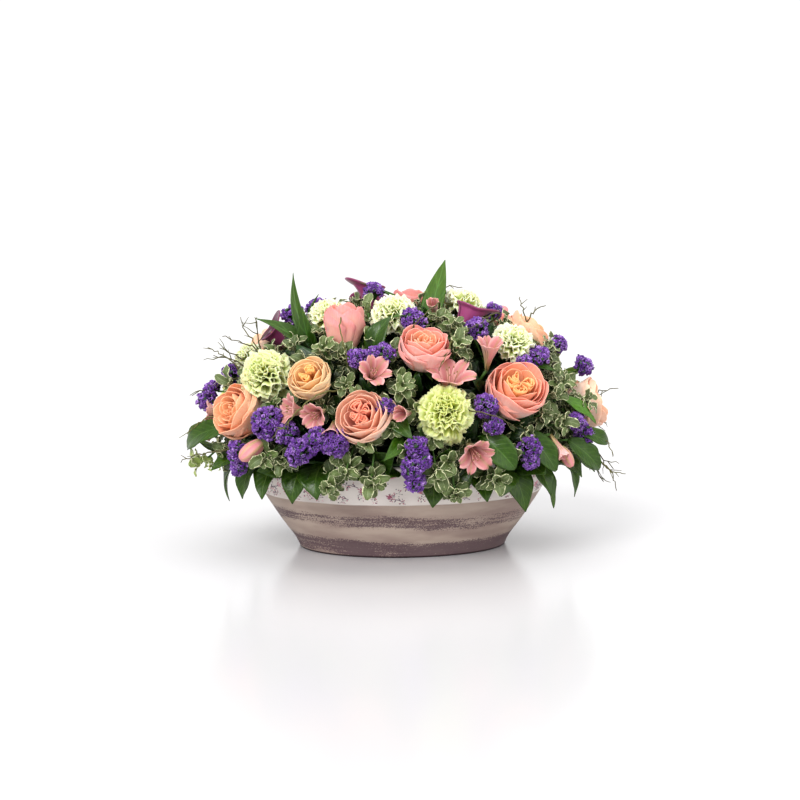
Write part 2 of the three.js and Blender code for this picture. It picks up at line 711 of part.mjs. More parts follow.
// each head: longitude, latitude, lift, radius
const STATICES = [
  ["statice_1", [-95, 22, 1, 12], [-92, 13, 1.07, 12], [-100, 53, 1, 14]],
  ["statice_2", [-46, 10, 1, 20], [-60, -5, 1, 15]],
  ["statice_3", [-30, 4, 1, 22], [-38, -4, 0.98, 13]],
  ["statice_4", [-20, 43, 1, 10], [2, 57, 1, 11], [-12, 44, 1, 10], [-38, 75, 1, 13]],
  ["statice_5", [-1, 5, 1, 14], [-1, -7, 1, 14], [-8, 20, 0.94, 9]],
  ["statice_6", [35, 1, 1, 15], [24, 15, 1, 14]],
  ["statice_7", [59, 36, 1, 14], [62, 4, 1, 15], [86, 27, 1, 13], [88, 38, 1, 10], [38, 54, 0.98, 14]],
  ["statice_8", [-142, 24, 1, 14], [-114, 22, 1, 12], [-122, 60, 1, 14]],
  ["statice_9", [173, 12, 1, 17], [-162, 38, 1, 14], [135, 8, 1, 15]],
];

// each stem: its joint, then its leaves' tips with their widths
const LANCE_LEAVES = [
  ["lance_leaves_1", [-62, 50, 0.85], [-84, 64, 1.31, 13], [-81, 48, 1.16, 20], [-68, 59, 1.11, 20]],
  ["lance_leaves_2", [45, 78, 0.88], [119, 78, 1.27, 28], [-75, 78, 1.13, 14], [-9, 56, 1.02, 24]],
];

// where each runner's stem joins it, then each leaf's foot, the place of its tip and its width
const RIM_LEAVES = [
  ["broad_leaves_1", -66,
    [-96, -98, -14, 1.03, 32], [-90, -90, 2, 1.12, 34], [-84, -84, -26, 1.02, 32],
    [-75, -74, -10, 1.06, 30], [-66, -66, -22, 1, 34], [-60, -62, 6, 1.02, 30],
    [-54, -53, -20, 1, 32], [-46, -45, -10, 1.02, 30],
    [-40, -41, -21, 0.98, 32], [-32, -31, -18, 0.98, 40], [-26, -24, -8, 1, 30]],
  ["broad_leaves_2", 9,
    [-18, -20, -16, 0.96, 32], [-14, -12, 8, 0.98, 34], [-8, -8, -17, 0.95, 30], [0, -1, -12, 0.94, 32],
    [7, 6, -22, 0.95, 34], [9, 10, 4, 0.98, 30], [15, 16, -17, 0.96, 32], [23, 24, -20, 0.97, 30],
    [27, 28, 6, 1, 38], [31, 32, -10, 1.03, 42]],
  ["broad_leaves_3", 70,
    [36, 36, -21, 0.98, 32], [42, 42, -9, 1.02, 36], [47, 47, -19, 1.03, 26], [54, 54, -26, 1.02, 20],
    [58, 58, 6, 1, 34], [64, 64, -14, 1.03, 34], [70, 70, -24, 1.02, 28], [76, 77, -14, 1.05, 42],
    [84, 84, 20, 1.1, 20], [88, 90, -16, 1.04, 32], [98, 99, -8, 1.06, 34]],
  ["broad_leaves_4", 182,
    [108, 107, -18, 1.03, 36], [118, 118, -9, 1.04, 38], [129, 129, -20, 1, 36], [139, 138, -4, 1.02, 36],
    [149, 150, -20, 1, 38], [160, 160, -12, 1, 38], [171, 171, -20, 0.98, 38], [182, 182, 4, 0.98, 36],
    [191, 191, -20, 0.97, 38], [202, 202, -12, 1, 38], [212, 213, -20, 1, 36], [223, 223, -5, 1.02, 36],
    [234, 234, -21, 1.02, 38], [244, 244, -8, 1.04, 38], [254, 253, -19, 1.03, 36]],
];

// each sprig: longitude, latitude and lift of its tip
const PITTOSPORUMS = [
  ["pittosporum_1", [-78, 24, 1], [-37, 44, 1], [-18, 25, 0.98], [-47, -1, 1], [-84, -8, 1.06]],
  ["pittosporum_2", [19, 45, 1], [-4, 28, 1], [71, 40, 1], [70, 17, 1.02], [60, 24, 0.98]],
  ["pittosporum_3", [52, 10, 0.98], [26, 57, 0.97], [6, -5, 1], [24, -9, 1], [-20, -4, 1]],
  ["pittosporum_4", [170, 58, 1], [-32, 68, 1], [-130, 72, 0.98], [158, 32, 1], [112, 28, 1]],
  ["pittosporum_5", [-155, 28, 1], [-125, 27, 1], [-130, 2, 1], [180, 0, 1]],
];

// the joint, then each twig's tip
const TWIGS = [
  ["twigs_1", [-85, 34, 0.9], [-94, 31, 1.15], [-95, 37, 1.15], [-97, 45, 1.15], [-92, 15, 1.14]],
  ["twigs_2", [82, 5, 0.92], [84, 13, 1.12], [82, -1, 1.12], [78, -19, 1.12], [79, -12, 1.14]],
];

// ---------------------------------------------------------------- growing it all

const GREEN = "#2f5a26";
addNode("bowl", bowl(), "#a39684");
ROSES.forEach(rose);
CARNATIONS.forEach(carnation);
CALLAS.forEach(calla);
ALSTROEMERIAS.forEach((row) => alstroemeria(row, "#d98a92"));
STATICES.forEach((row) => statice(row, "#6a3fbf"));
LANCE_LEAVES.forEach((row) => leafyStem(row, GREEN));
RIM_LEAVES.forEach((row) => rimLeaves(row, GREEN));
PITTOSPORUMS.forEach((row) => sprigs(row, "#6b7b55"));
TWIGS.forEach((row) => bareTwigs(row, "#4b4238"));
addNode("floral_foam", foamBlock().subtract(wasm.Manifold.union(holes)), "#3f6b3a");

export default group;
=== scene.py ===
"""An oval floral table centrepiece: garden roses, carnations, callas, alstroemeria, statice and mixed
leaves in a painted bowl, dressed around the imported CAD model.

Lengths are in millimetres until a mesh is made, and then in metres. +X runs along the bowl's length,
-Y faces the viewer. Flowers are placed on one dome by longitude, latitude and lift, as in the CAD
model, so every bloom, spray and leaf here stands at its node's place or close to it.
"""

import math
import zlib

import bpy
import numpy as np
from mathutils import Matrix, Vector


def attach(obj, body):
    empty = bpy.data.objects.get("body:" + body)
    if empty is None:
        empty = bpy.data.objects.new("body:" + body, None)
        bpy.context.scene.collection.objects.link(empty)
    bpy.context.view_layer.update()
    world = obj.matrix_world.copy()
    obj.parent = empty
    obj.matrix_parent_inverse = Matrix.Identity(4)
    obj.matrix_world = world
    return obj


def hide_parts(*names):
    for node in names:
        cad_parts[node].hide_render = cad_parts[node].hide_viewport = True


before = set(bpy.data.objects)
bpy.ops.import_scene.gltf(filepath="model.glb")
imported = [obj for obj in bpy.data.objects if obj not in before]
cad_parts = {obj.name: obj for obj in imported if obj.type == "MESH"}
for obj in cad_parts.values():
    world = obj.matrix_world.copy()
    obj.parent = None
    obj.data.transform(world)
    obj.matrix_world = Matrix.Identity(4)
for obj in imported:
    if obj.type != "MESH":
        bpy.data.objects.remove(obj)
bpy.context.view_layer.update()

MM = 0.001
TAU = 2 * math.pi
UP = np.array([0.0, 0.0, 1.0])


# ---------------------------------------------------------------- driving dimensions

BOWL_HEIGHT = 104
BOWL_WALL = 5
BOWL_FLOOR = 8
BOWL_DEPTH_SHARE = 0.63
BOWL_PROFILE = [(0, 111), (10, 115), (28, 129), (60, 150), (84, 160), (BOWL_HEIGHT, 165)]
BOWL_INSIDE = (114, 165)  # half lengths at the floor and the rim, before the wall is taken off
BOWL_MOUTH = (166, 106)  # half length and half width of what leaves stay out of, below the rim
WHITE_BAND_FROM = 61.5
TABLE_GAP = 3  # how far leaves stay above the table

DOME_CENTRE = np.array([0.0, 0.0, 120.0])
DOME_REACH = np.array([205.0, 150.0, 150.0])
ANCHOR_SHARE = (0.42, 0.25)  # a stem ends at these shares of its bloom's x and y
ANCHOR_HEIGHT = 108
ANCHOR_RISE = 0.05
RUNNER = (169, 109, 107.4)  # half length, half width and height of the stems round the rim

PETAL = 0.5  # thickness of petals
LEAF = 0.55  # thickness of leaves
INNER_LIGHT = 0.20  # how bright the things deep among the stems are
GOLDEN_ANGLE = 137.508  # degrees between neighbours of an even spread
GOLDEN_TURN = 2.39996  # the same in radians

CAMERA_TARGET = np.array([-3.0, 0.0, 157.5])
CAMERA_AZIMUTH = -5
CAMERA_ELEVATION = 9
CAMERA_DISTANCE = 2200
CAMERA_LENS = 92.1


# ---------------------------------------------------------------- where things stand


def direction(lon, lat):
    """The direction of a longitude (0 to the viewer, positive to the right) and a latitude."""
    a, b = math.radians(lon), math.radians(lat)
    return np.array([math.cos(b) * math.sin(a), -math.cos(b) * math.cos(a), math.sin(b)])


def on_dome(lon, lat, lift):
    """A point over the dome, on its surface where lift is 1."""
    return direction(lon, lat) * DOME_REACH * lift + DOME_CENTRE


def unit(v):
    """The same way with a length of 1."""
    return v / max(np.linalg.norm(v), 1e-9)


def outward(lon, lat):
    """The way that faces out of the dome there."""
    return unit(direction(lon, lat) / DOME_REACH)


def anchor_of(point):
    """Where the stem of something at that point ends, inside the foam."""
    height = ANCHOR_HEIGHT + ANCHOR_RISE * (point[2] - DOME_CENTRE[2])
    return np.array([point[0] * ANCHOR_SHARE[0], point[1] * ANCHOR_SHARE[1], height])


def runner_at(lon):
    """A point of the thin stems that lie round outside the bowl's rim."""
    a = math.radians(lon)
    return np.array([RUNNER[0] * math.sin(a), -RUNNER[1] * math.cos(a), RUNNER[2]])


class Stand:
    """A local frame: +Z is the way a bloom faces, turned about it by roll degrees."""

    def __init__(self, origin, facing, roll=0.0):
        side = np.cross(UP, facing)
        side = unit(side) if np.linalg.norm(side) > 1e-3 else np.array([1.0, 0, 0])
        up = np.cross(facing, side)
        c, s = math.cos(math.radians(roll)), math.sin(math.radians(roll))
        self.axes = np.array([c * side + s * up, c * up - s * side, facing])
        self.origin = np.asarray(origin, float)

    def place(self, points):
        return points @ self.axes + self.origin


def seeded(name):
    """A random generator of the piece's own, the same in every run."""
    return np.random.default_rng(zlib.crc32(name.encode()))


# ---------------------------------------------------------------- colours


def colour(code):
    """A colour such as '#a39684' as linear numbers."""
    values = np.array([int(code[i : i + 2], 16) / 255 for i in (1, 3, 5)])
    return np.where(values <= 0.04045, values / 12.92, ((values + 0.055) / 1.055) ** 2.4)


def mixed(a, b, share):
    """From colour a to colour b, by an array of shares."""
    share = np.clip(np.asarray(share, float), 0, 1)[..., None]
    return a * (1 - share) + b * share


def lerp(a, b, share):
    """From a to b by a share."""
    return a * (1 - share) + b * share


def smooth(low, high, value):
    """0 up to low, 1 from high on, and an even rise between them."""
    t = np.clip((value - low) / (high - low), 0, 1)
    return t * t * (3 - 2 * t)


# ---------------------------------------------------------------- growing meshes


class Growth:
    """Gathers sheets and tubes, and makes one mesh of them. Each point has a tint and a grain: its
    place across and along its petal or leaf, and a number of the petal's own."""

    def __init__(self):
        self.points, self.tints, self.grains, self.faces = [], [], [], []
        self.count = 0

    def add(self, points, faces, tint, grain, material=0):
        """Adds points and their faces, which come as arrays of corners with one number of sides each."""
        points = points.reshape(-1, 3)
        self.points.append(points)
        self.tints.append(np.broadcast_to(tint, points.shape))
        self.grains.append(np.broadcast_to(grain, points.shape))
        self.faces += [(block + self.count, material) for block in faces]
        self.count += len(points)

    def dim_inside(self):
        """Darkens what lies deep among the stems, where little light comes."""
        for i, points in enumerate(self.points):
            depth = np.linalg.norm((points - DOME_CENTRE) / DOME_REACH, axis=-1)
            light = INNER_LIGHT + (1 - INNER_LIGHT) * smooth(0.76, 1.00, depth)
            self.tints[i] = self.tints[i] * light[:, None]

    def shells(self, grids, thickness, tint, grain, under=None, material=0):
        """Closed thin sheets over a (sheets, rows, columns, 3) array of points."""
        k, n, m, _ = grids.shape
        normal = np.cross(np.gradient(grids, axis=1), np.gradient(grids, axis=2))
        normal /= np.linalg.norm(normal, axis=-1, keepdims=True) + 1e-9
        half = normal * thickness / 2
        points = np.stack([grids + half, grids - half], axis=1)
        under = tint if under is None else under
        tints = np.stack([np.broadcast_to(t, grids.shape) for t in (tint, under)], axis=1)
        grains = np.stack([np.broadcast_to(grain, grids.shape)] * 2, axis=1)
        quads = shell_quads(n, m)
        start = (np.arange(k) * 2 * n * m)[:, None, None]
        faces = (quads[None] + start).reshape(-1, 4)
        self.add(points, [faces], tints.reshape(-1, 3), grains.reshape(-1, 3), material)

    def tube(self, path, radii, tint, sides, material=0):
        """A closed tube along a path, with a radius at each point."""
        path = np.asarray(path, float)
        radii = np.broadcast_to(radii, len(path))
        along = np.gradient(path, axis=0)
        along /= np.linalg.norm(along, axis=1, keepdims=True) + 1e-9
        side = unit(np.cross(along[0], UP if abs(along[0][2]) < 0.9 else [1.0, 0, 0]))
        turns = np.arange(sides) * TAU / sides
        rings = []
        for point, way, radius in zip(path, along, radii):
            side = unit(side - way * (side @ way))
            other = np.cross(way, side)
            rings.append(point + radius * (np.outer(np.cos(turns), side) + np.outer(np.sin(turns), other)))
        self.loft(np.array(rings), tint, material=material)

    def loft(self, rings, tint, material=0):
        """A closed body over a (rings, sides, 3) array of points, with a flat face at each end."""
        n, sides, _ = rings.shape
        tints = np.broadcast_to(tint, rings.shape).reshape(-1, 3)
        grain = grains_of(np.linspace(-1, 1, sides), np.linspace(0, 1, n)[:, None], np.array(0.5))
        self.add(rings, ring_quads(1, n, sides), tints, grain.reshape(-1, 3), material)

    def build(self, name, materials, soft=True):
        """Makes the mesh and its piece, smooth if soft."""
        mesh = bpy.data.meshes.new(name)
        points = np.concatenate(self.points) * MM
        corners = np.concatenate([block.reshape(-1) for block, _ in self.faces]).astype(np.int32)
        sizes = np.concatenate([np.full(len(block), block.shape[1]) for block, _ in self.faces])
        slots = np.concatenate([np.full(len(block), slot) for block, slot in self.faces])
        starts = np.concatenate([[0], np.cumsum(sizes)[:-1]])
        mesh.vertices.add(len(points))
        mesh.vertices.foreach_set("co", points.astype(np.float32).reshape(-1))
        mesh.loops.add(len(corners))
        mesh.loops.foreach_set("vertex_index", corners)
        mesh.polygons.add(len(sizes))
        mesh.polygons.foreach_set("loop_start", starts.astype(np.int32))
        mesh.polygons.foreach_set("material_index", slots.astype(np.int32))
        mesh.polygons.foreach_set("use_smooth", np.full(len(sizes), soft))
        mesh.update(calc_edges=True)
        tints = np.concatenate(self.tints)
        rgba = np.concatenate([tints, np.ones((len(tints), 1))], axis=1).astype(np.float32)
        mesh.color_attributes.new("tint", "FLOAT_COLOR", "POINT").data.foreach_set("color", rgba.reshape(-1))
        grains = np.concatenate(self.grains).astype(np.float32)
        mesh.attributes.new("grain", "FLOAT_VECTOR", "POINT").data.foreach_set("vector", grains.reshape(-1))
        for material in materials:
            mesh.materials.append(MATERIALS[material])
        piece = bpy.data.objects.new(name, mesh)
        bpy.context.scene.collection.objects.link(piece)
        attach(piece, "root")
        return piece


def shell_quads(n, m):
    """The faces of one closed sheet of n rows and m columns: over it, under it and round its rim."""
    at = np.arange(n * m).reshape(n, m)
    a, b, c, d = at[:-1, :-1], at[1:, :-1], at[1:, 1:], at[:-1, 1:]
    over = np.stack([a, b, c, d], axis=-1).reshape(-1, 4)
    under = over[:, ::-1] + n * m
    loop = np.concatenate([at[:-1, 0], at[-1, :-1], at[:0:-1, -1], at[0, :0:-1]])
    after = np.roll(loop, -1)
    rim = np.stack([after, loop, loop + n * m, after + n * m], axis=-1)
    return np.concatenate([over, under, rim])


def ring_quads(count, rows, sides):
    """The faces of bodies of rings: their sides, and then their first and their last ends."""
    at = np.arange(rows * sides).reshape(rows, sides)
    a, b = at[:-1], np.roll(at, -1, axis=1)[:-1]
    quads = np.stack([a, b, b + sides, a + sides], axis=-1).reshape(-1, 4)
    start = (np.arange(count) * rows * sides)[:, None, None]
    return [(block[None] + start).reshape(-1, block.shape[1]) for block in (quads, at[:1, ::-1], at[-1:])]


def grid(rows, columns):
    """Places across (-1 to 1) and along (0 to 1) a sheet, each a (1, rows, columns) array."""
    along, across = np.meshgrid(np.linspace(0, 1, rows), np.linspace(-1, 1, columns), indexing="ij")
    return across[None], along[None]


def grains_of(u, v, marks):
    """The grain of sheets: across, along and each sheet's own number."""
    shape = np.broadcast_shapes(u.shape, v.shape, marks.shape)
    return np.stack([np.broadcast_to(part, shape) for part in (u, v, marks)], axis=-1)


def polar(r, turn, z):
    """Points from their distance from the axis, their turn round it and their height."""
    return np.stack(np.broadcast_arrays(r * np.cos(turn), r * np.sin(turn), z), axis=-1)


def bezier(t, a, b, c, d):
    """A cubic curve from a to d that bends towards b and c."""
    s = 1 - t
    return s**3 * a + 3 * s * s * t * b + 3 * s * t * t * c + t**3 * d


def beta(v, a, b):
    """A leaf's outline: 0 at both ends and 1 where it is widest."""
    peak = a / (a + b)
    return (v / peak) ** a * ((1 - v) / (1 - peak)) ** b


# ---------------------------------------------------------------- materials


class Nodes:
    """Short names for making a material's nodes."""

    def __init__(self, name):
        self.material = bpy.data.materials.new(name)
        self.material.use_nodes = True
        self.tree = self.material.node_tree
        self.shader = self.tree.nodes["Principled BSDF"]

    def new(self, kind, inputs=(), **settings):
        """A node with these inputs, each a value or a socket."""
        node = self.tree.nodes.new(kind)
        for key, value in settings.items():
            setattr(node, key, value)
        for key, value in dict(inputs).items():
            self.put(node.inputs[key], value)
        return node

    def put(self, socket, value):
        if isinstance(value, bpy.types.NodeSocket):
            self.tree.links.new(value, socket)
        else:
            socket.default_value = value

    def math(self, operation, *values):
        node = self.new("ShaderNodeMath", operation=operation)
        for socket, value in zip(node.inputs, values):
            self.put(socket, value)
        return node.outputs[0]

    def ramp(self, value, low, high):
        """0 below low and 1 above high."""
        node = self.new("ShaderNodeMapRange", {"Value": value, "From Min": low, "From Max": high})
        node.interpolation_type = "SMOOTHSTEP"
        return node.outputs[0]

    def mix(self, share, a, b, kind="MIX"):
        node = self.new("ShaderNodeMix", data_type="RGBA", blend_type=kind)
        for socket, value in ((node.inputs[0], share), (node.inputs[6], a), (node.inputs[7], b)):
            self.put(socket, value)
        return node.outputs[2]

    def noise(self, vector, scale, detail):
        inputs = {"Vector": vector, "Scale": scale, "Detail": detail}
        return self.new("ShaderNodeTexNoise", inputs).outputs[0]

    def scaled(self, vector, x, y, z):
        node = self.new("ShaderNodeVectorMath", operation="MULTIPLY")
        self.put(node.inputs[0], vector)
        node.inputs[1].default_value = (x, y, z)
        return node.outputs[0]

    def tint(self):
        return self.new("ShaderNodeAttribute", attribute_name="tint").outputs["Color"]

    def grain(self):
        """The grain as a vector, and its parts: across and along the petal or leaf."""
        vector = self.new("ShaderNodeAttribute", attribute_name="grain").outputs["Vector"]
        parts = self.new("ShaderNodeSeparateXYZ", {"Vector": vector}).outputs
        return vector, parts[0], parts[1]

    def place(self):
        """The place on the object in metres."""
        return self.new("ShaderNodeTexCoord").outputs["Object"]

    def weighed(self, *parts):
        """The sum of values, each times its weight."""
        total = 0.0
        for value, weight in parts:
            total = self.math("MULTIPLY_ADD", value, weight, total)
        return total

    def bump(self, height, strength, distance):
        inputs = {"Height": height, "Strength": strength, "Distance": distance}
        self.put(self.shader.inputs["Normal"], self.new("ShaderNodeBump", inputs).outputs[0])

    def finish(self, base, **sockets):
        self.put(self.shader.inputs["Base Color"], base)
        for key, value in sockets.items():
            self.shader.inputs[key.replace("_", " ")].default_value = value
        return self.material


def rgba(code):
    """A colour as a node's socket takes it."""
    return (*colour(code), 1.0)


def petal_material(name, streaks, roughness=0.55, glow=0.2):
    """Soft petals: the tint, with fine streaks along each petal in relief and in colour."""
    n = Nodes(name)
    vector, _, _ = n.grain()
    fine = n.noise(n.scaled(vector, 9, 1.6, 31), 3.0, 4)
    shade = n.ramp(fine, 0.35, 0.68)
    streaked = n.mix(n.math("MULTIPLY", shade, streaks), n.tint(), (0.97, 0.82, 0.76, 1), "MULTIPLY")
    n.bump(fine, 0.35, 0.0006)
    n.shader.inputs["Subsurface Radius"].default_value = (0.006, 0.0035, 0.0025)
    return n.finish(streaked, Roughness=roughness, Subsurface_Weight=glow, Subsurface_Scale=0.6,
                    Sheen_Weight=0.15, Sheen_Roughness=0.5)


def leaf_material(name, vein, veins, roughness, relief):
    """Green leaves: the tint, paler along the midrib and side veins, which also stand in relief."""
    n = Nodes(name)
    vector, across, along = n.grain()
    side = n.math("ABSOLUTE", across)
    midrib = n.math("SUBTRACT", 1.0, n.ramp(side, 0.02, 0.07))
    run = n.math("SUBTRACT", n.math("MULTIPLY", along, veins), n.math("MULTIPLY", side, veins * 0.28))
    wave = n.math("ABSOLUTE", n.math("SUBTRACT", n.math("FRACT", run), 0.5))
    branch = n.math("MULTIPLY", n.math("SUBTRACT", 1.0, n.ramp(wave, 0.03, 0.12)), 0.45)
    lines = n.math("MAXIMUM", midrib, branch)
    mottle = n.noise(n.scaled(vector, 2.5, 5, 31), 2.0, 4)
    ground = n.mix(n.math("MULTIPLY", n.ramp(mottle, 0.35, 0.7), 0.35), n.tint(), rgba("#0d2208"))
    n.bump(n.math("SUBTRACT", mottle, lines), relief, 0.0007)
    return n.finish(n.mix(n.math("MULTIPLY", lines, 0.36), ground, rgba(vein)), Roughness=roughness,
                    Specular_IOR_Level=0.38, Subsurface_Weight=0.05, Subsurface_Scale=0.3)


def variegated_material(name):
    """Grey-green leaves with an uneven cream margin and a pale midrib."""
    n = Nodes(name)
    vector, across, _ = n.grain()
    side = n.math("ABSOLUTE", across)
    patch = n.noise(n.scaled(vector, 1.3, 4.5, 53), 2.2, 3)
    edge = n.math("ADD", side, n.math("MULTIPLY", n.math("SUBTRACT", patch, 0.5), 0.75))
    margin = n.ramp(edge, 0.84, 0.96)
    midrib = n.math("MULTIPLY", n.math("SUBTRACT", 1.0, n.ramp(side, 0.02, 0.10)), 0.4)
    mottle = n.noise(n.scaled(vector, 2, 4, 31), 4.0, 4)
    ground = n.mix(n.math("MULTIPLY", n.ramp(mottle, 0.4, 0.7), 0.45), n.tint(), rgba("#26351a"))
    green = n.mix(midrib, ground, rgba("#97a576"))
    n.bump(mottle, 0.4, 0.0006)
    return n.finish(n.mix(margin, green, rgba("#d2d3aa")), Roughness=0.45, Specular_IOR_Level=0.4,
                    Subsurface_Weight=0.06, Subsurface_Scale=0.3)


def papery_material(name):
    """Dry papery florets: the tint, which holds a painted highlight on each floret's crimped rim, paler in
    crimped patches.
    """
    n = Nodes(name)
    vector, _, _ = n.grain()
    crimp = n.noise(n.scaled(vector, 11, 2, 17), 3.0, 2)
    n.bump(crimp, 0.5, 0.0004)
    pale = n.mix(n.math("MULTIPLY", n.ramp(crimp, 0.50, 0.80), 0.25), n.tint(), rgba("#bf9ae6"))
    return n.finish(pale, Roughness=0.75, Sheen_Weight=0.2)


def bark_material(name):
    """Dull bark: the tint, with rough marks across it."""
    n = Nodes(name)
    vector, _, _ = n.grain()
    rough = n.noise(n.scaled(vector, 3, 40, 1), 4.0, 3)
    n.bump(rough, 0.6, 0.0004)
    return n.finish(n.mix(n.ramp(rough, 0.35, 0.7), n.tint(), rgba("#6b6a3c")), Roughness=0.7)


def stem_material(name):
    """Green stems: the tint, with fine ribs along them."""
    n = Nodes(name)
    vector, _, _ = n.grain()
    ribs = n.noise(n.scaled(vector, 12, 3, 1), 3.0, 2)
    n.bump(ribs, 0.4, 0.0004)
    return n.finish(n.mix(n.ramp(ribs, 0.3, 0.7), n.tint(), rgba("#3f6b26")), Roughness=0.5)


# the heights where each dark band of the bowl starts, is full, starts to fade and ends
UPPER_BAND = (27, 38, 44, 54)
LOWER_BAND = (-4, 5, 14, 25)


def bowl_material(name):
    """Taupe paint with two distressed purple-brown bands, and an off-white band below the rim."""
    n = Nodes(name)
    place = n.place()
    height = n.math("MULTIPLY", n.new("ShaderNodeSeparateXYZ", {"Vector": place}).outputs[2], 1 / MM)
    cloud = n.noise(n.scaled(place, 14, 14, 60), 1.0, 4)
    streak = n.noise(n.scaled(place, 30, 30, 420), 1.0, 5)
    stipple = n.noise(n.scaled(place, 750, 750, 1100), 1.0, 2)
    taupe = n.mix(n.ramp(cloud, 0.3, 0.7), rgba("#9b8880"), rgba("#b7a69a"))
    body = n.mix(distress(n, place, height, streak, stipple), taupe, rgba("#523c48"))
    foot = n.math("SUBTRACT", 1.0, n.ramp(height, 1.4, 2.6))
    body = n.mix(foot, body, rgba("#3a2a2e"))
    # partly painted shade: the off-white paint kept dim all round for the shade of the leaves over the band
    white = n.mix(n.ramp(cloud, 0.35, 0.75), rgba("#e9e1db"), rgba("#d6cdc8"))
    edge = n.math("ADD", height, n.math("MULTIPLY", n.math("SUBTRACT", streak, 0.5), 1.2))
    painted = n.mix(n.ramp(edge, WHITE_BAND_FROM - 0.5, WHITE_BAND_FROM + 0.5), body, white)
    n.bump(n.math("ADD", n.math("MULTIPLY", stipple, 0.4), streak), 0.35, 0.0005)
    return n.finish(painted, Roughness=0.5, Specular_IOR_Level=0.35)


def distress(n, place, height, streak, stipple):
    """How dark the bowl's paint is: streaks and stipple in two wandering bands."""
    patch = n.noise(n.scaled(place, 13, 13, 34), 1.0, 3)
    wander = n.math("MULTIPLY", n.math("SUBTRACT", n.noise(n.scaled(place, 9, 9, 9), 1.0, 2), 0.5), 18.0)
    level = n.math("ADD", height, wander)
    lower = band(n, level, *LOWER_BAND)
    bands = n.math("MAXIMUM", band(n, level, *UPPER_BAND), lower)
    worn = n.weighed((streak, 0.42), (stipple, 0.66), (patch, 0.42), (lower, 0.10), (bands, 0.33))
    dark = n.math("MULTIPLY", n.ramp(worn, 0.98, 1.12), n.ramp(bands, 0.02, 0.5))
    return n.math("MULTIPLY", dark, 0.80)


def band(n, level, low, full, fades, high):
    """1 between full and fades, and 0 below low and above high."""
    return n.math("MULTIPLY", n.ramp(level, low, full), n.math("SUBTRACT", 1.0, n.ramp(level, fades, high)))


def print_material(name):
    """The thin painted marks on the bowl's white band, a little worn."""
    n = Nodes(name)
    place = n.place()
    wear = n.noise(n.scaled(place, 500, 500, 500), 1.0, 2)
    return n.finish(n.mix(n.ramp(wear, 0.52, 0.75), n.tint(), rgba("#e8e3df")), Roughness=0.5)


def foam_material(name):
    """Soaked green foam with open pores."""
    n = Nodes(name)
    place = n.place()
    pores = n.noise(place, 900.0, 2)
    n.bump(pores, 0.8, 0.0008)
    return n.finish(n.mix(n.ramp(pores, 0.4, 0.65), rgba("#12301c"), rgba("#2c5a38")), Roughness=0.9)


def floor_material(name):
    """A pale floor with a faint gloss."""
    n = Nodes(name)
    place = n.place()
    soft = n.noise(place, 3.0, 2)
    return n.finish(n.mix(soft, rgba("#c6c5c7"), rgba("#cac9ca")), Roughness=0.2, Specular_IOR_Level=0.45)


MATERIALS = {
    "rose": petal_material("rose_petals", 0.60),
    "carnation": petal_material("carnation_petals", 0.25, 0.6, 0.25),
    "calla": petal_material("calla_skin", 0.35, 0.35, 0.1),
    "alstroemeria": petal_material("alstroemeria_tepals", 0.4, 0.5),
    "statice": papery_material("statice_florets"),
    "dark_leaf": leaf_material("dark_leaves", "#5f8438", 8, 0.30, 0.35),
    "lance_leaf": leaf_material("lance_leaves", "#5f9440", 3, 0.42, 0.25),
    "variegated": variegated_material("variegated_leaves"),
    "twig": bark_material("twig_bark"),
    "stem": stem_material("green_stems"),
    "bowl": bowl_material("painted_bowl"),
    "print": print_material("band_print"),
    "foam": foam_material("wet_foam"),
    "floor": floor_material("floor"),
}

GREEN_STEM = colour("#5f7f3a")


def add_piece(growth, name, slot, *materials, soft=True):
    """Makes a piece of the scene's own from a growth."""
    piece = growth.build(name, materials, soft)


def dress(growth, node, slot, *materials):
    """Makes the mesh of a node's growth, which then stands for the node."""
    piece = growth.build(node + "_grown", materials)
    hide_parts(node)


# ---------------------------------------------------------------- stems


def curve(start, end, rise, count=7):
    """A path from start to end that bows upwards."""
    t = np.linspace(0, 1, count)[:, None]
    path = start * (1 - t) + end * t
    path[:, 2] += rise * np.sin(np.pi * t[:, 0])
    return path


def stem(growth, root, radius, material=1):
    """A stem from a bloom's root down into the foam."""
    growth.tube(curve(root, anchor_of(root), 0), radius, GREEN_STEM, 8, material)


def branch(growth, root, share, foot, rise, radius):
    """A branch to a bloom's foot that leaves the stem under root at a share of its length."""
    joint = root + share * (anchor_of(root) - root)
    growth.tube(curve(joint, foot, rise), radius, GREEN_STEM, 6, 1)


def cup(growth, stand, size, rows, sides, tint):
    """A green cup under a bloom, from rows of height and radius as shares of its size."""
    turns = np.arange(sides) * TAU / sides
    rings = [polar(radius * size, turns, height * size) for height, radius in rows]
    growth.loft(stand.place(np.array(rings)), tint, material=1)


# ---------------------------------------------------------------- roses

# each layer of petals of the cup: how many, the rim's radius and height as shares of the bloom's size,
# how far the rim rolls outwards, and half a petal's width in radians
CUP_LAYERS = [
    (3, 0.86, 0.20, 0.15, 1.55),
    (3, 0.83, 0.31, 0.12, 1.50),
    (3, 0.75, 0.37, 0.09, 1.45),
    (4, 0.62, 0.38, 0.05, 1.15),
]

# the same for a heart whose petals wind round the middle
SPIRAL_LAYERS = [
    (4, 0.50, 0.36, 0.02, 1.15), (4, 0.40, 0.33, 0.01, 1.05), (3, 0.30, 0.32, 0.00, 1.25),
    (3, 0.20, 0.31, 0.00, 1.25), (2, 0.11, 0.31, 0.00, 1.6), (2, 0.04, 0.30, 0.00, 1.6),
]

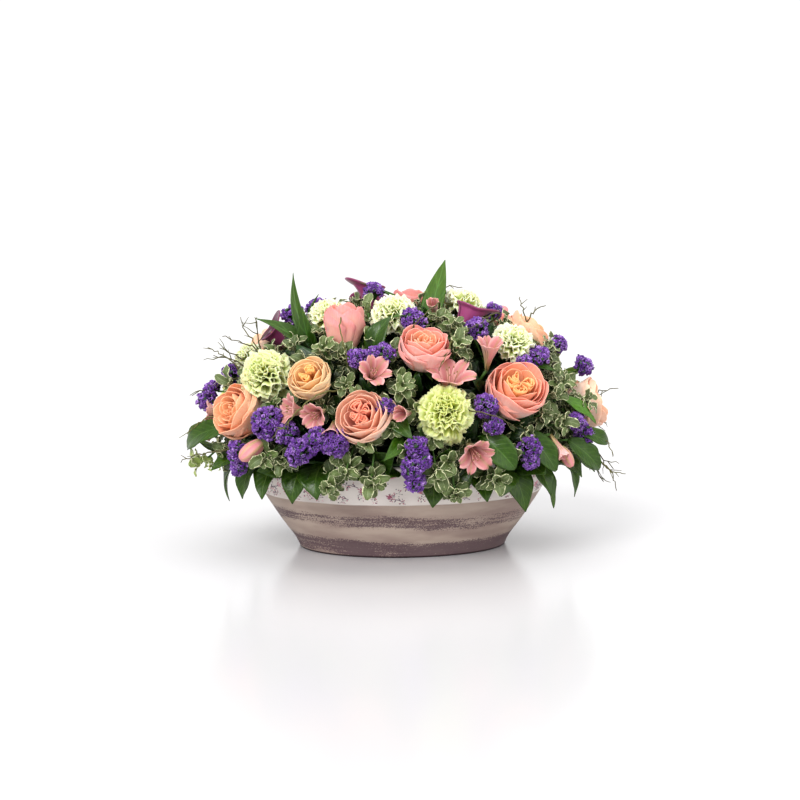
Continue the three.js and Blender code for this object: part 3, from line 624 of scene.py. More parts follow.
# a rose's outer petals, their rims, its inner petals and its heart
ROSE_COLOURS = {
    "peach": ("#fbd0b3", "#f8b795", "#fbb988", "#f79a5e"),
    "yellow": ("#f7dfbe", "#f6d2a4", "#f9c684", "#f49c40"),
    "coral": ("#f9dac6", "#f7c4ad", "#f7b399", "#e5593a"),
    "pink": ("#f8c4bd", "#f4a8a2", "#fab894", "#fcb060"),
    "salmon": ("#f9cabd", "#f5a99a", "#fbb888", "#fdb45e"),
    "pale": ("#fadccb", "#f8c8ae", "#f9c4a4", "#f4a57c"),
    "dusty": ("#ebaa9c", "#e09090", "#f3a592", "#f4ae7c"),
}

CUP_FOOT = -1.05  # where the petals start under the bloom
MOST_CURL = 2.7  # how far a rim rolls back at most, in radians
QUARTER_REACHES = (0.50, 0.44, 0.38, 0.31, 0.24, 0.16)  # of the folds in a quartered heart, from outside
CALYX_ROWS = [(-1.27, 0.07), (-1.20, 0.12), (-1.13, 0.17), (-1.07, 0.16), (-0.99, 0.08)]  # height, radius


def cup_petals(rng, layer, index, tall):
    """Petals of one layer: across, along, radius, turn and height, and each petal's mark."""
    count, rim, height, roll, half_width = layer
    u, v = grid(15, 15)
    v = 1 - (1 - v) ** 1.6
    k = (count, 1, 1)
    vary = lambda spread: 1 + spread * (rng.random(k) * 2 - 1)
    marks = rng.random(k)
    rim = rim * vary(0.03) * (1 - 0.16 * tall)
    height = height + 0.55 * tall + 0.07 * (rng.random(k) * 2 - 1)
    t = v * (1 - 0.05 * np.abs(u) - 0.20 * np.abs(u) ** 3.0 * vary(0.3))
    belly = rim * (1.03 + 0.05 * tall)
    r = bezier(t, 0.07, 0.80 * belly, 1.04 * belly, rim)
    z = bezier(t, CUP_FOOT, CUP_FOOT + 0.05, lerp(CUP_FOOT, height, 0.52), height)
    corners = 0.30 + 0.9 * np.exp(-((np.abs(u) - 0.55) / 0.33) ** 2)
    curl = 19 * roll * np.clip((v - 0.68) / 0.32, 0, 1) ** 1.3 * corners * vary(0.35)
    curl = np.minimum(curl, MOST_CURL)
    r = r + 0.085 * np.sin(curl)
    z = z - 0.105 * (1 - np.cos(curl))
    wave = 0.022 * v**3 * np.sin(3.4 * u + TAU * rng.random(k))
    wave = wave + 0.010 * v**5 * np.sin(8 * u + TAU * rng.random(k))
    turn = TAU * (np.arange(count)[:, None, None] + 0.41 * index + 0.16 * (rng.random(k) - 0.5)) / count
    angle = turn + u * half_width * vary(0.06) * (0.75 + 0.25 * smooth(0, 0.5, v))
    r = r * (1 + (0.07 + 0.03 * (index > 3)) * u) + wave
    return u, v, r, angle, z + wave, marks


def cup_tint(u, v, share, colours, marks):
    """The inside and the outside of petals whose layer is this share of the way to the heart."""
    outer, rims, inner, heart = (colour(c) for c in colours)
    body = lerp(outer, lerp(inner, heart, float(smooth(0.45, 0.9, share))), float(smooth(0.1, 0.45, share)))
    edge = lerp(rims, lerp(inner, outer, 0.25), float(smooth(0.2, 0.7, share)))
    edged = mixed(body, edge, smooth(0.78, 1.0, v + 0.10 * np.abs(u)) * 0.9)
    # partly painted shade: the inside deepens towards the petal's foot, partly the heart's own deeper colour
    # and partly shade down in the cup
    inside = mixed(edged, lerp(heart, inner, 0.3), (1 - smooth(0.3, 0.9, v)) * 0.90)
    outside = mixed(edged, colour("#e4d79c"), (1 - smooth(0.05, 0.38, v)) * 0.6)
    veined = mixed(outside, rims, 0.30 * smooth(0.3, 0.9, v) * (0.5 + 0.5 * np.sin(9 * u + 6 * marks)))
    brightness = (0.95 + 0.09 * marks)[..., None]
    return inside * brightness, veined * brightness


def quarter_folds(growth, rng, stand, size, colours):
    """Nested folded petals in quarters, as in the heart of an old garden rose."""
    inner, heart = colour(colours[2]), colour(colours[3])
    u, v = grid(7, 15)
    quarters = int(rng.integers(4, 6))
    shift = rng.random()
    turns = TAU * (np.arange(quarters) + shift + 0.6 * (rng.random(quarters) - 0.5)) / quarters
    fars = 1 - 0.38 * rng.random(quarters)
    swirl = 0.45 + 0.6 * rng.random()
    for depth, reach in enumerate(QUARTER_REACHES):
        k = (quarters, 1, 1)
        marks = rng.random(k)
        turn = turns[:, None, None] + 0.42 * (rng.random(k) - 0.5)
        far = reach * fars[:, None, None] * (0.90 + 0.20 * rng.random(k))
        loop = 1 - np.abs(u) ** (1.5 + 0.8 * rng.random(k))
        crumple = 0.022 * np.sin(8 * u + TAU * rng.random(k)) * v
        r = 0.02 + (far + crumple) * loop * (0.90 + 0.10 * v)
        wide = (0.66 - 0.08 * depth) * (0.70 + 0.6 * rng.random(k)) * 4 / quarters
        spread = wide * np.sin(np.pi * u * 0.86) * (0.5 + 0.5 * loop)
        angle = turn + spread * (1 + 0.10 * (1 - v)) + swirl * (1 - loop) * (1.1 - 0.3 * v)
        angle = angle + 0.10 * np.sin(5 * u + TAU * rng.random(k)) * loop
        top = 0.36 - 0.12 * (1 - loop) ** 2 - 0.03 * depth + 0.08 * (rng.random(k) - 0.5)
        top = top + 0.03 * np.sin(2.5 * u + TAU * rng.random(k))
        z = -0.25 + (top + 0.25) * v + 0.018 * np.sin(7 * u + TAU * rng.random(k)) * v
        # painted shade: the heart colour darkened to two thirds at the foot of each fold
        tint = mixed(heart * 0.66, lerp(heart, inner, 0.75), smooth(0.50, 1.0, v))
        tint = tint * (0.95 + 0.12 * marks)[..., None]
        grids = size * polar(r, angle, z)
        growth.shells(stand.place(grids), PETAL, tint, grains_of(u, v, marks + 10 + depth))


def guard_petal(growth, rng, stand, size, colours, turn, droop):
    """One petal that has fallen open under the cup."""
    u, v = grid(12, 13)
    half = 0.62 * np.sin(np.pi * np.clip(0.10 + 0.70 * v, 0, 1)) ** 0.7
    reach = 1.22 - 0.12 * np.abs(u) ** 3
    r = 0.1 + reach * v - 0.10 * v**3
    z = CUP_FOOT + 1.25 * v - (0.55 + droop) * v**2.2 + 0.10 * u**2 * v
    z = z + 0.03 * v**3 * np.sin(5 * u + TAU * rng.random()) - 0.10 * smooth(0.8, 1, v) * np.abs(u)
    angle = turn + u * half / np.maximum(r, 0.35)
    inside, outside = cup_tint(u, v, 0.0, colours, np.full((1, 1, 1), rng.random()))
    grids = size * polar(r, angle, z)
    growth.shells(stand.place(grids), PETAL, inside, grains_of(u, v, np.array(0.77)), under=outside)


def calyx(growth, stand, size):
    """The green cup under a rose with its five pointed sepals."""
    cup(growth, stand, size, CALYX_ROWS, 10, GREEN_STEM * 0.9)
    u, v = grid(6, 5)
    k = np.arange(5)[:, None, None]
    angle = TAU * k / 5 + u * (0.42 * (1 - v) ** 0.8 + 0.001)
    r = 0.12 + 0.5 * v
    z = CUP_FOOT - 0.06 + 0.1 * v - 0.30 * v**2
    grids = size * polar(r, angle, z)
    growth.shells(stand.place(grids), LEAF, GREEN_STEM * 0.85, grains_of(u, v, k * 1.0), material=1)


def rose(name, lon, lat, lift, size, face_lon, face_lat, roll, kind, heart, guards, slot, bud=None):
    """A rose with a quartered, a spiral or a closed heart, its fallen petals and sometimes a bud."""
    rng = seeded(name)
    growth = Growth()
    centre, facing = on_dome(lon, lat, lift), direction(face_lon, face_lat)
    stand = Stand(centre, facing, roll)
    colours = ROSE_COLOURS[kind]
    tall = 1.0 if heart == "closed" else 0.0
    layers = CUP_LAYERS + SPIRAL_LAYERS[: 1 if heart == "quartered" else None]
    for index, layer in enumerate(layers):
        u, v, r, angle, z, marks = cup_petals(rng, layer, index, tall)
        inside, outside = cup_tint(u, v, min(1, index / 8), colours, marks)
        growth.shells(stand.place(size * polar(r, angle, z)), PETAL, inside,
                      grains_of(u, v, marks + index), under=outside)
    if heart == "quartered":
        quarter_folds(growth, rng, stand, size, colours)
    for turn, droop in guards:
        guard_petal(growth, rng, stand, size, colours, math.radians(turn), droop)
    calyx(growth, stand, size)
    root = centre + (CUP_FOOT - 0.15) * size * facing
    stem(growth, root, 2.1)
    if bud:
        closed_bud(growth, root, *bud)
    dress(growth, name, slot, "rose", "stem")


def closed_bud(growth, root, lon, lat, lift, size):
    """A closed bud of overlapping petals on a branch."""
    centre, facing = on_dome(lon, lat, lift), outward(lon, lat)
    stand = Stand(centre, facing)
    u, v = grid(11, 11)
    k = np.arange(6)[:, None, None]
    swell = 0.50 * np.sin(np.pi * (0.08 + 0.80 * v)) ** 0.8 * (1 - 0.04 * (k % 2))
    angle = TAU * k / 3 + k * 0.5 + u * 1.1
    r = size * (swell * (1 - 0.10 * u) + 0.02)
    z = size * (-0.9 + 1.9 * v - 0.12 * np.abs(u) ** 3 * v)
    tint = mixed(colour("#f2b0a4"), colour("#ee8f8f"), smooth(0.2, 0.9, v))
    growth.shells(stand.place(polar(r, angle, z)), PETAL, tint, grains_of(u, v, k + 0.5))
    branch(growth, root, 0.35, centre - 0.9 * size * facing, 6, 1.3)


# name, longitude, latitude, lift, radius, the way it faces, roll, colours, heart, fallen petals (turn in
# degrees and droop), slot, bud
ROSES = [
    ("rose_1", -66, 14.5, 1, 30, -60, 22, 0, "peach", "spiral", [], "rose_peach"),
    ("rose_2", -36, 31, 1.02, 24, -34, 44, 30, "yellow", "quartered", [], "rose_yellow"),
    ("rose_3", -16, 17, 1, 29, -28, 34, 60, "coral", "quartered", [(-25, 0.05)], "rose_peach"),
    ("rose_4", 5, 46, 1.03, 27.5, 8, 64, 15, "pink", "spiral", [], "rose_pink"),
    ("rose_5", 36, 26, 1, 33, 20, 46, 50, "salmon", "quartered", [], "rose_pink"),
    ("rose_6", 85, 13, 1.02, 28, 88, 20, 10, "pale", "spiral", [(30, 0.1)], "rose_peach"),
    ("rose_7", -36, 56, 1, 26, 170, 80, 0, "dusty", "closed", [], "rose_pink"),
    ("rose_8", -114, 36, 1, 26, -110, 35, 20, "pale", "spiral", [], "rose_pink"),
    ("rose_9", 92, 48, 1, 26, 105, 50, 40, "peach", "spiral", [(0, 0.1)], "rose_peach", (114, 54, 1, 13)),
    ("rose_10", 165, 76, 0.98, 23, 160, 78, 0, "dusty", "spiral", [], "rose_pink"),
    ("rose_11", 150, 18, 1, 31, 152, 32, 10, "salmon", "quartered", [], "rose_pink"),
    ("rose_12", -165, 15, 1, 29, -168, 32, 35, "yellow", "spiral", [], "rose_yellow"),
    ("rose_13", 125, 42, 1, 28, 130, 50, 0, "pink", "quartered", [], "rose_pink"),
    ("rose_14", -140, 42, 1, 29, -142, 52, 25, "peach", "spiral", [(200, 0.1)], "rose_peach"),
]


# ---------------------------------------------------------------- carnations

# each ring of petals: how many, their tips' radius and height as shares of the bloom's size, and how much
# of the bloom's droop it takes
CARNATION_RINGS = [
    (8, 0.94, -0.46, 1.0), (10, 1.00, -0.18, 0.4), (9, 0.92, 0.02, 0), (9, 0.80, 0.20, 0),
    (8, 0.63, 0.33, 0), (7, 0.45, 0.43, 0), (5, 0.27, 0.50, 0), (3, 0.12, 0.52, 0),
]

# the heights and radii of the green cup under them
CARNATION_CUP = [(-1.05, 0.08), (-1.0, 0.16), (-0.75, 0.19), (-0.55, 0.14)]

# the colour at the petals' feet deep between them (partly their own deeper lime, partly painted shade), of
# the petals and of their edges
CARNATION_COLOURS = {
    "lime": ("#a0ae34", "#c8d26a", "#e2e6ae"),
    "green": ("#a9b850", "#ced88a", "#e6e9be"),
    "cream": ("#bccf66", "#dfe8a6", "#f4f5da"),
}


def frilled_petals(rng, index, count, rim, height):
    """One ring of a carnation's petals in shares of its size: across, along, and their points."""
    u, v = grid(9, 21)
    k = (count, 1, 1)
    vary = lambda spread: 1 + spread * (rng.random(k) * 2 - 1)
    turn = TAU * (np.arange(count)[:, None, None] + 0.5 * index + 0.5 * rng.random(k)) / count
    reach = rim * vary(0.09)
    top = height + 0.09 * (rng.random(k) * 2 - 1)
    teeth = 0.045 * np.abs(((u * 6 + rng.random(k)) % 1) * 2 - 1)
    length = v * (1 - 0.10 * u**2 - teeth * smooth(0.75, 1, v))
    bow = (1 - length) ** 2, 2 * length * (1 - length), length**2
    r = 0.03 * bow[0] + 0.28 * reach * bow[1] + reach * bow[2]
    z = -0.62 * bow[0] + (0.30 * top + 0.02 + 0.12 * (1 - rim)) * bow[1] + top * bow[2]
    half = 0.40 * (0.06 + 0.94 * smooth(0.15, 0.95, v)) * vary(0.15)
    waves = 1.5 + 1.3 * rng.random(k)
    ripple = 0.10 * smooth(0.35, 1.0, v) * np.sin(waves * np.pi * u + TAU * rng.random(k)) * vary(0.35)
    ripple = ripple + 0.022 * smooth(0.6, 1.0, v) * np.sin(9 * u + TAU * rng.random(k))
    twist = (rng.random(k) - 0.5) * 1.5 * v
    side = u * half * np.cos(twist)
    rise = ripple + u * half * np.sin(twist)
    slope = np.arctan2(np.gradient(z, axis=1), np.gradient(r, axis=1))
    r = r - rise * np.sin(slope)
    z = z + rise * np.cos(slope)
    c, s = np.cos(turn), np.sin(turn)
    return u, v, np.stack([r * c - side * s, r * s + side * c, z], axis=-1)


def carnation(name, lon, lat, lift, size, face_lon, face_lat, roll, kind, slot, droop=0.0):
    """A full head of frilled petals, of which the lowest hang down by the droop."""
    rng = seeded(name)
    growth = Growth()
    centre, facing = on_dome(lon, lat, lift), direction(face_lon, face_lat)
    stand = Stand(centre, facing, roll)
    deep, body, edge = (colour(c) for c in CARNATION_COLOURS[kind])
    for index, (count, rim, height, sag) in enumerate(CARNATION_RINGS):
        u, v, petals = frilled_petals(rng, index, count, rim, height - droop * sag)
        # partly painted shade: darker, deeper lime towards each petal's foot, deep inside the head
        tint = mixed(deep, body, smooth(0.35, 0.9, v))
        tint = mixed(tint, edge, smooth(0.80, 1.0, v + 0.06 * u**2) * (0.35 + 0.60 * rim))
        tint = tint * (0.92 + 0.14 * rng.random((count, 1, 1)))[..., None]
        grains = grains_of(u, v, rng.random((count, 1, 1)) + index)
        growth.shells(stand.place(size * petals), PETAL * 0.8, tint, grains)
    cup(growth, stand, size, CARNATION_CUP, 12, colour("#7fa04a"))
    stem(growth, centre - 1.0 * size * facing, 2.0)
    dress(growth, name, slot, "carnation", "stem")


# name, longitude, latitude, lift, radius, the way it faces, roll, colours, slot, droop
CARNATIONS = [
    ("carnation_1", -65, 32, 0.95, 32, -45, 36, 0, "green", "carnation_lime", 0.2),
    ("carnation_2", 9, 18.5, 1.02, 30, 2, 34, 10, "lime", "carnation_lime", 0.4),
    ("carnation_3", -67, 64, 1, 23, -40, 62, 20, "cream", "carnation_cream"),
    ("carnation_4", -11, 68, 1, 27, -10, 66, 0, "cream", "carnation_cream"),
    ("carnation_5", 52, 46, 1, 25, 45, 48, 5, "cream", "carnation_cream"),
    ("carnation_6", 102, 70, 1, 24, 90, 68, 0, "cream", "carnation_cream"),
    ("carnation_7", -95, 35, 1, 18, -92, 34, 0, "cream", "carnation_cream"),
    ("carnation_8", 175, 38, 1, 30, 176, 42, 0, "green", "carnation_lime"),
    ("carnation_9", 118, 12, 1, 29, 116, 14, 8, "cream", "carnation_cream"),
    ("carnation_10", -118, 12, 1, 29, -116, 14, 3, "lime", "carnation_lime"),
]


# ---------------------------------------------------------------- callas


def calla(name, lon, lat, lift, size, face_lon, face_lat, roll):
    """A plum funnel, its skin wound round the axis and its lip rolled out to a point."""
    growth = Growth()
    centre, facing = on_dome(lon, lat, lift), direction(face_lon, face_lat)
    stand = Stand(centre, facing, roll)
    s = np.linspace(0, 1, 49)[None, None, :]
    t = np.linspace(0, 1, 22)[None, :, None]
    turn = np.radians(-190 + 380 * s)
    lip = np.maximum(0, np.cos(turn)) ** 2
    r = size * (0.15 + 0.4 * t**1.6 + 0.5 * lip * t**3 + 0.06 * s)
    roll_back = 0.10 * smooth(0.8, 1.0, t)
    z = size * (-1.1 + 1.4 * t + 0.4 * lip * t**2 - roll_back)
    r = r + size * 0.06 * smooth(0.85, 1, t)
    grids = polar(r, turn, z)
    u, v = s * 2 - 1, t
    outside = mixed(colour("#66702e"), colour("#a04c7c"), smooth(0.0, 0.35, v))
    outside = mixed(outside, colour("#7c2f58"), smooth(0.75, 1, v) * 0.5)
    inside = mixed(colour("#1f0816"), colour("#5a1f41"), smooth(0.2, 1, v))
    growth.shells(stand.place(grids), 1.2, inside, grains_of(u, v, np.array(0.3)), under=outside)
    axis = np.linspace(-1.15, 0.12, 9)[:, None] * size * facing + centre
    radii = size * np.array([0.15, 0.14, 0.12, 0.10, 0.09, 0.085, 0.08, 0.07, 0.02])
    growth.tube(axis, radii, colour("#b98a3c"), 10, 0)
    stem(growth, centre - 1.0 * size * facing, 3.0)
    dress(growth, name, "calla_plum", "calla", "stem")


# name, longitude, latitude, lift, size, the way it faces, roll
CALLAS = [
    ("calla_1", -125, 79, 1.04, 24, 178, 75, 4),
    ("calla_2", 46, 64, 1.02, 25, 115, 60, 252),
    ("calla_3", -97, 47, 1, 20, -80, 45, 90),
    ("calla_4", -165, 62, 1, 23, -160, 50, 0),
]


# ---------------------------------------------------------------- alstroemeria


def flower(growth, rng, centre, facing, size, openness):
    """An alstroemeria: three broad outer tepals and three narrow streaked inner ones."""
    stand = Stand(centre, facing, 120 * rng.random())
    u, v = grid(13, 11)
    k = np.arange(6)[:, None, None]
    narrow = k % 2
    wild = lambda: rng.random((6, 1, 1)) - 0.5
    turn = TAU * (k + 0.20 * wild()) / 6
    spread = openness * (1 + 0.25 * wild())
    end_r = 0.30 + 0.66 * spread - 0.06 * narrow
    end_z = 1.00 - 0.62 * spread - 0.08 * narrow
    r = bezier(v, 0.07, 0.16, 0.22 + 0.22 * spread, end_r)
    z = bezier(v, -0.95, -0.35, 0.30 + 0.1 * (1 - spread), end_z)
    z = z - 0.16 * spread * v**4 * (1 - 0.6 * narrow)
    half = (0.38 - 0.14 * narrow) * np.maximum(beta(np.clip(v, 0.02, 0.985), 1.05, 0.38), 0.14)
    angle = turn + u * half / np.maximum(r, 0.26)
    r = r * (1 + 0.10 * (narrow - 0.5)) + 0.05 * u**2 * v * (1 - narrow)
    ruffle = 0.022 * v**2 * np.sin(6 * u + 5 * v + 6 * wild())
    grids = size * polar(r + ruffle, angle, z + ruffle + 0.05 * u**2 * v)
    inside, outside = tepal_tints(u, v, k)
    growth.shells(stand.place(grids), PETAL, outside, grains_of(u, v, rng.random((6, 1, 1))), under=inside)
    if openness > 0.5:
        stamens(growth, rng, stand, size)


def tepal_tints(u, v, k):
    """The inside of an alstroemeria's tepals, every second one streaked, and their green-ribbed outside."""
    base, body, edge, green = (colour(c) for c in ("#94804c", "#d08e8e", "#ebbab4", "#8f9a55"))
    narrow, side = k % 2, np.abs(u)
    inside = mixed(base, body, smooth(0.10, 0.50, v))
    inside = mixed(inside, edge, smooth(0.45, 1.0, v + 0.25 * side) * 0.75)
    inside = mixed(inside, colour("#ecd79a"), narrow * 0.55 * (1 - smooth(0.5, 0.9, v)))
    streaks = narrow * smooth(0.2, 0.45, v) * (1 - smooth(0.66, 0.86, v)) * (np.sin(15 * u + k) > 0.35)
    inside = mixed(inside, colour("#7c3f3a"), streaks * 0.8)
    rib = (1 - smooth(0.03, 0.30, side)) * (1 - 0.35 * v)
    tip = smooth(0.93, 1.0, v) * (1 - smooth(0.1, 0.6, side)) * 0.6
    outside = mixed(lerp(body, colour("#ba6f74"), 0.55), edge, smooth(0.5, 1.0, side) * 0.7)
    outside = mixed(outside, green, rib * 0.55 + (1 - smooth(0.1, 0.4, v)) * 0.6)
    return inside, mixed(outside, green, tip)


def stamens(growth, rng, stand, size):
    """Six thin stamens, each with its knob."""
    for j in range(6):
        angle, wide = TAU * j / 6 + 0.3, 0.13 + 0.08 * rng.random()
        tip = polar(wide, angle, 0.28 + 0.15 * rng.random())
        path = np.array([[0, 0, -0.7], tip * [0.5, 0.5, 0] + [0, 0, -0.1], tip]) * size
        growth.tube(stand.place(path), [0.45, 0.35, 0.3], colour("#e8b9b0"), 5)
        knob = np.array([tip * size - [0, 0, 1.0], tip * size, tip * size + [0, 0, 1.3]])
        growth.tube(stand.place(knob), [0.4, 0.8, 0.3], colour("#8a6f3d"), 6)


def striped_bud(growth, rng, centre, facing, size):
    """A closed alstroemeria bud: six tepals held together, green along their ribs."""
    stand = Stand(centre, facing, 60 * rng.random())
    sides, rows = 36, 15
    turns = np.arange(sides) * TAU / sides
    rings, tints = [], []
    for t in np.linspace(0, 1, rows):
        swell = 0.14 + 0.42 * math.sin(math.pi * min(1, 0.05 + 0.83 * t)) ** 0.9
        if t > 0.9:
            swell *= 1 - 4.0 * (t - 0.9)
        rib = 0.5 + 0.5 * np.cos(6 * turns + 1.2 * t)
        r = size * swell * (0.86 + 0.14 * rib**0.5)
        rings.append(polar(r, turns, size * (-1 + 2 * t)))
        shade = mixed(colour("#d98f96"), colour("#a9a35f"), rib**2 * (0.9 - 0.4 * t))
        tints.append(mixed(shade, colour("#7f8f3f"), 0.8 * (1 - smooth(0, 0.3, t))))
    growth.loft(stand.place(np.array(rings)), np.array(tints))


def alstroemeria(name, *heads):
    """Open flowers and buds that branch from the first one's stem."""
    rng = seeded(name)
    growth = Growth()
    first = None
    for lon, lat, lift, size, openness, face_lon, face_lat in heads:
        centre, facing = on_dome(lon, lat, lift), direction(face_lon, face_lat)
        if openness:
            flower(growth, rng, centre, facing, size, openness)
        else:
            striped_bud(growth, rng, centre, facing, size)
        foot = centre - 0.93 * size * facing
        if first is None:
            first = foot
            stem(growth, foot, 1.6)
        else:
            branch(growth, first, 0.45, foot, 5, 1.2)
    dress(growth, name, "alstroemeria_pink", "alstroemeria", "stem")


# each head: longitude, latitude, lift, size, how far open (0 is a closed bud), and the way it faces
ALSTROEMERIAS = [
    ("alstroemeria_1", (-14, 34, 1, 22, 0.75, 10, 35), (-3, 18, 1, 16, 0.35, -35, 5)),
    ("alstroemeria_2", (-30, 17, 1, 20, 0.65, -30, -5), (-39, 18, 0.99, 20, 0.8, -70, 15),
     (-25, 11, 0.98, 17, 0.4, -10, -25)),
    ("alstroemeria_3", (13, 32, 0.98, 28, 0.95, 5, 62)),
    ("alstroemeria_4", (17, 2, 1, 24, 0.8, 15, -20)),
    ("alstroemeria_5", (32, 42, 1, 22, 0.5, 15, 70), (23, 69, 1, 15, 0.2, -20, 50)),
    ("alstroemeria_6", (-84, 11, 1, 19, 0.7, -95, 0), (-52, 1, 1.01, 16, 0, -75, -35),
     (-80, 4, 1, 14, 0.4, -100, -20)),
    ("alstroemeria_7", (48, 1, 1, 16, 0.2, 45, -50), (53, -4, 1, 12, 0, 60, -60)),
    ("alstroemeria_8", (-142, 9, 1, 21, 0.8, -140, 10)),
]


# ---------------------------------------------------------------- statice

FLORET_SIDES = 10

FLORET_GAP = 3.4  # between neighbours along a spike
# radius, height and brightness of each ring of a floret: foot, waist, rim, inside of the rim, throat; the
# brightness is painted light, painted shade at the foot and throat and a painted highlight on the rim
FLORET_ROWS = [
    (0.30, -5.2, 0.05), (0.55, -2.2, 0.25), (1.00, 0.6, 1.15), (0.80, 0.5, 0.80), (0.22, -1.6, 0.05),
]


def florets(growth, rng, centres, ways, radii):
    """Small papery funnels with a crimped rim, each at its place and facing its way."""
    count, rows = len(centres), len(FLORET_ROWS)
    around = circles(rng, ways, FLORET_SIDES)
    odd = np.arange(FLORET_SIDES) % 2
    glow = 0.50 + 0.85 * rng.random((count, 1))
    rings, bright = [], []
    for share, height, shade in FLORET_ROWS:
        rim = smooth(0.55, 0.85, share)
        crimp = 0.16 * rim * rng.standard_normal((count, FLORET_SIDES))
        spread = radii[:, None] * share * (1 - 0.30 * rim * odd) * (1 + crimp)
        wave = 0.6 * rng.standard_normal((count, FLORET_SIDES))
        lift = height * radii[:, None] / 2.6 + 0.9 * rim * (odd + wave)
        foot = centres[:, None] + ways[:, None] * lift[..., None]
        rings.append(foot + spread[..., None] * around)
        bright.append(shade * glow * np.ones(FLORET_SIDES))
    bright = np.stack(bright, axis=1)
    # painted light: dark is painted shade at the feet and in the throats, light a painted highlight on the
    # rims
    dark, body, light = colour("#1c0826"), colour("#753aa6"), colour("#c9a0e8")
    tint = mixed(mixed(dark, body, smooth(0.05, 0.75, bright)), light, smooth(0.85, 1.6, bright))
    across, along = np.linspace(-1, 1, FLORET_SIDES), np.linspace(0, 1, rows)[:, None]
    grain = grains_of(across, along, rng.random((count, 1, 1)))
    faces = ring_quads(count, rows, FLORET_SIDES)
    growth.add(np.stack(rings, axis=1), faces, tint.reshape(-1, 3), grain.reshape(-1, 3))


def circles(rng, ways, sides):
    """A circle of points round each way, as a (ways, sides, 3) array."""
    side = np.cross(ways, rng.standard_normal(ways.shape))
    side /= np.linalg.norm(side, axis=1, keepdims=True)
    other = np.cross(ways, side)
    turns = (np.arange(sides) * TAU / sides)[None, :, None]
    return np.cos(turns) * side[:, None] + np.sin(turns) * other[:, None]


def spikes(growth, rng, centre, facing, radius):
    """A head of short curved spikes with their florets."""
    count = int(5 + radius * 0.62)
    i = np.arange(count) + 0.5
    lean = np.arccos(1 - i / count * 1.18)
    turn = i * GOLDEN_TURN + 6 * rng.random()
    stand = Stand(centre, facing)
    florets_at = []
    for tilt, spin in zip(lean, turn):
        tilt = tilt + 0.12 * rng.standard_normal()
        out = polar(math.sin(tilt), spin, math.cos(tilt)) @ stand.axes
        florets_at += spike(growth, rng, centre, facing, radius, out)
    places, ways = zip(*florets_at)
    radii = 1.9 + 0.9 * rng.random(len(places))
    florets(growth, rng, np.array(places), np.array(ways), radii)


def spike(growth, rng, centre, facing, radius, out):
    """A spike on its twig. Returns each floret's place along its outer side, and the way it faces."""
    bend = unit(np.cross(out, rng.standard_normal(3)))
    wide = np.cross(out, bend)
    reach = radius * (0.74 + 0.40 * rng.random())
    long = 0.34 * radius + 2.2
    foot, base = centre - 0.62 * radius * facing, centre + out * reach * 0.55
    growth.tube(curve(foot, base, 0, 4), [0.8, 0.7, 0.6, 0.6], colour("#37521f"), 5, 1)
    florets_at = []
    for j in np.linspace(-1, 1, max(3, int(long * 2 / FLORET_GAP))):
        crest = centre + out * reach * (1 - 0.22 * j * j) + bend * long * j
        for row in (-1, 0, 1):
            spot = crest + wide * row * 2.1 + rng.standard_normal(3) * 0.7
            way = unit(out + 0.55 * bend * j + 0.45 * wide * row + 0.22 * rng.standard_normal(3))
            florets_at.append((spot - out * (0.9 * abs(row)), way))
    # painted shade: a thick near-black stalk along each spike, the dark among its florets
    at = np.array([-0.95, -0.4, 0.2, 0.95])[:, None]
    spine = centre + out * reach * (0.86 - 0.22 * at * at) + bend * long * at
    growth.tube(spine, [0.9, 2.0, 2.0, 0.9], colour("#160b22"), 6, 1)
    return florets_at


def statice(name, *heads):
    """Heads of spikes that branch from the first one's stem."""
    rng = seeded(name)
    growth = Growth()
    first = None
    for lon, lat, lift, radius in heads:
        centre, facing = on_dome(lon, lat, lift), outward(lon, lat)
        spikes(growth, rng, centre, facing, radius)
        foot = centre - 0.7 * radius * facing
        if first is None:
            first = foot
            stem(growth, foot, 1.4)
        else:
            branch(growth, first, 0.45, foot, 5, 1.1)
    dress(growth, name, "statice_violet", "statice", "stem")


# each head: longitude, latitude, lift, radius
STATICES = [
    ("statice_1", (-95, 26, 0.99, 11), (-92, 14, 1.05, 11), (-92, 19, 1.05, 8), (-110, 54, 1.02, 13)),
    ("statice_2", (-47, 12, 1, 18), (-40, 9, 0.98, 12), (-60, -1, 1, 12), (-60, -7, 1, 9)),
    ("statice_3", (-29, 7, 1, 13), (-34, 2, 1, 14), (-23, 6, 1, 14)),
    ("statice_4", (-21, 41, 1, 10), (-11, 43, 1, 11), (2, 61, 1, 13), (-60, 80, 1.04, 11),
     (-16, 42, 0.98, 9)),
    ("statice_5", (0, 5, 1, 11), (-1, -3, 1, 12), (0, -9, 1, 9), (-9, 21, 0.97, 9), (2, 0, 1, 9)),
    ("statice_6", (35, 2, 1, 12), (36, -3, 1, 9), (23, 20, 0.98, 12), (24, 12, 1, 10)),
    ("statice_7", (55, 37, 1, 13), (65, 3, 1, 12), (60, 9, 1, 9), (86, 27, 1.06, 11), (88, 38, 1.04, 9),
     (37, 55, 0.99, 13), (96, 61, 1, 8), (47, 36, 0.98, 9)),
    ("statice_8", (-142, 24, 1, 14), (-122, 60, 1, 14), (-114, 22, 1, 11)),
    ("statice_9", (173, 12, 1, 17), (-162, 38, 1, 14), (135, 8, 1, 15)),
]


# ---------------------------------------------------------------- leaves

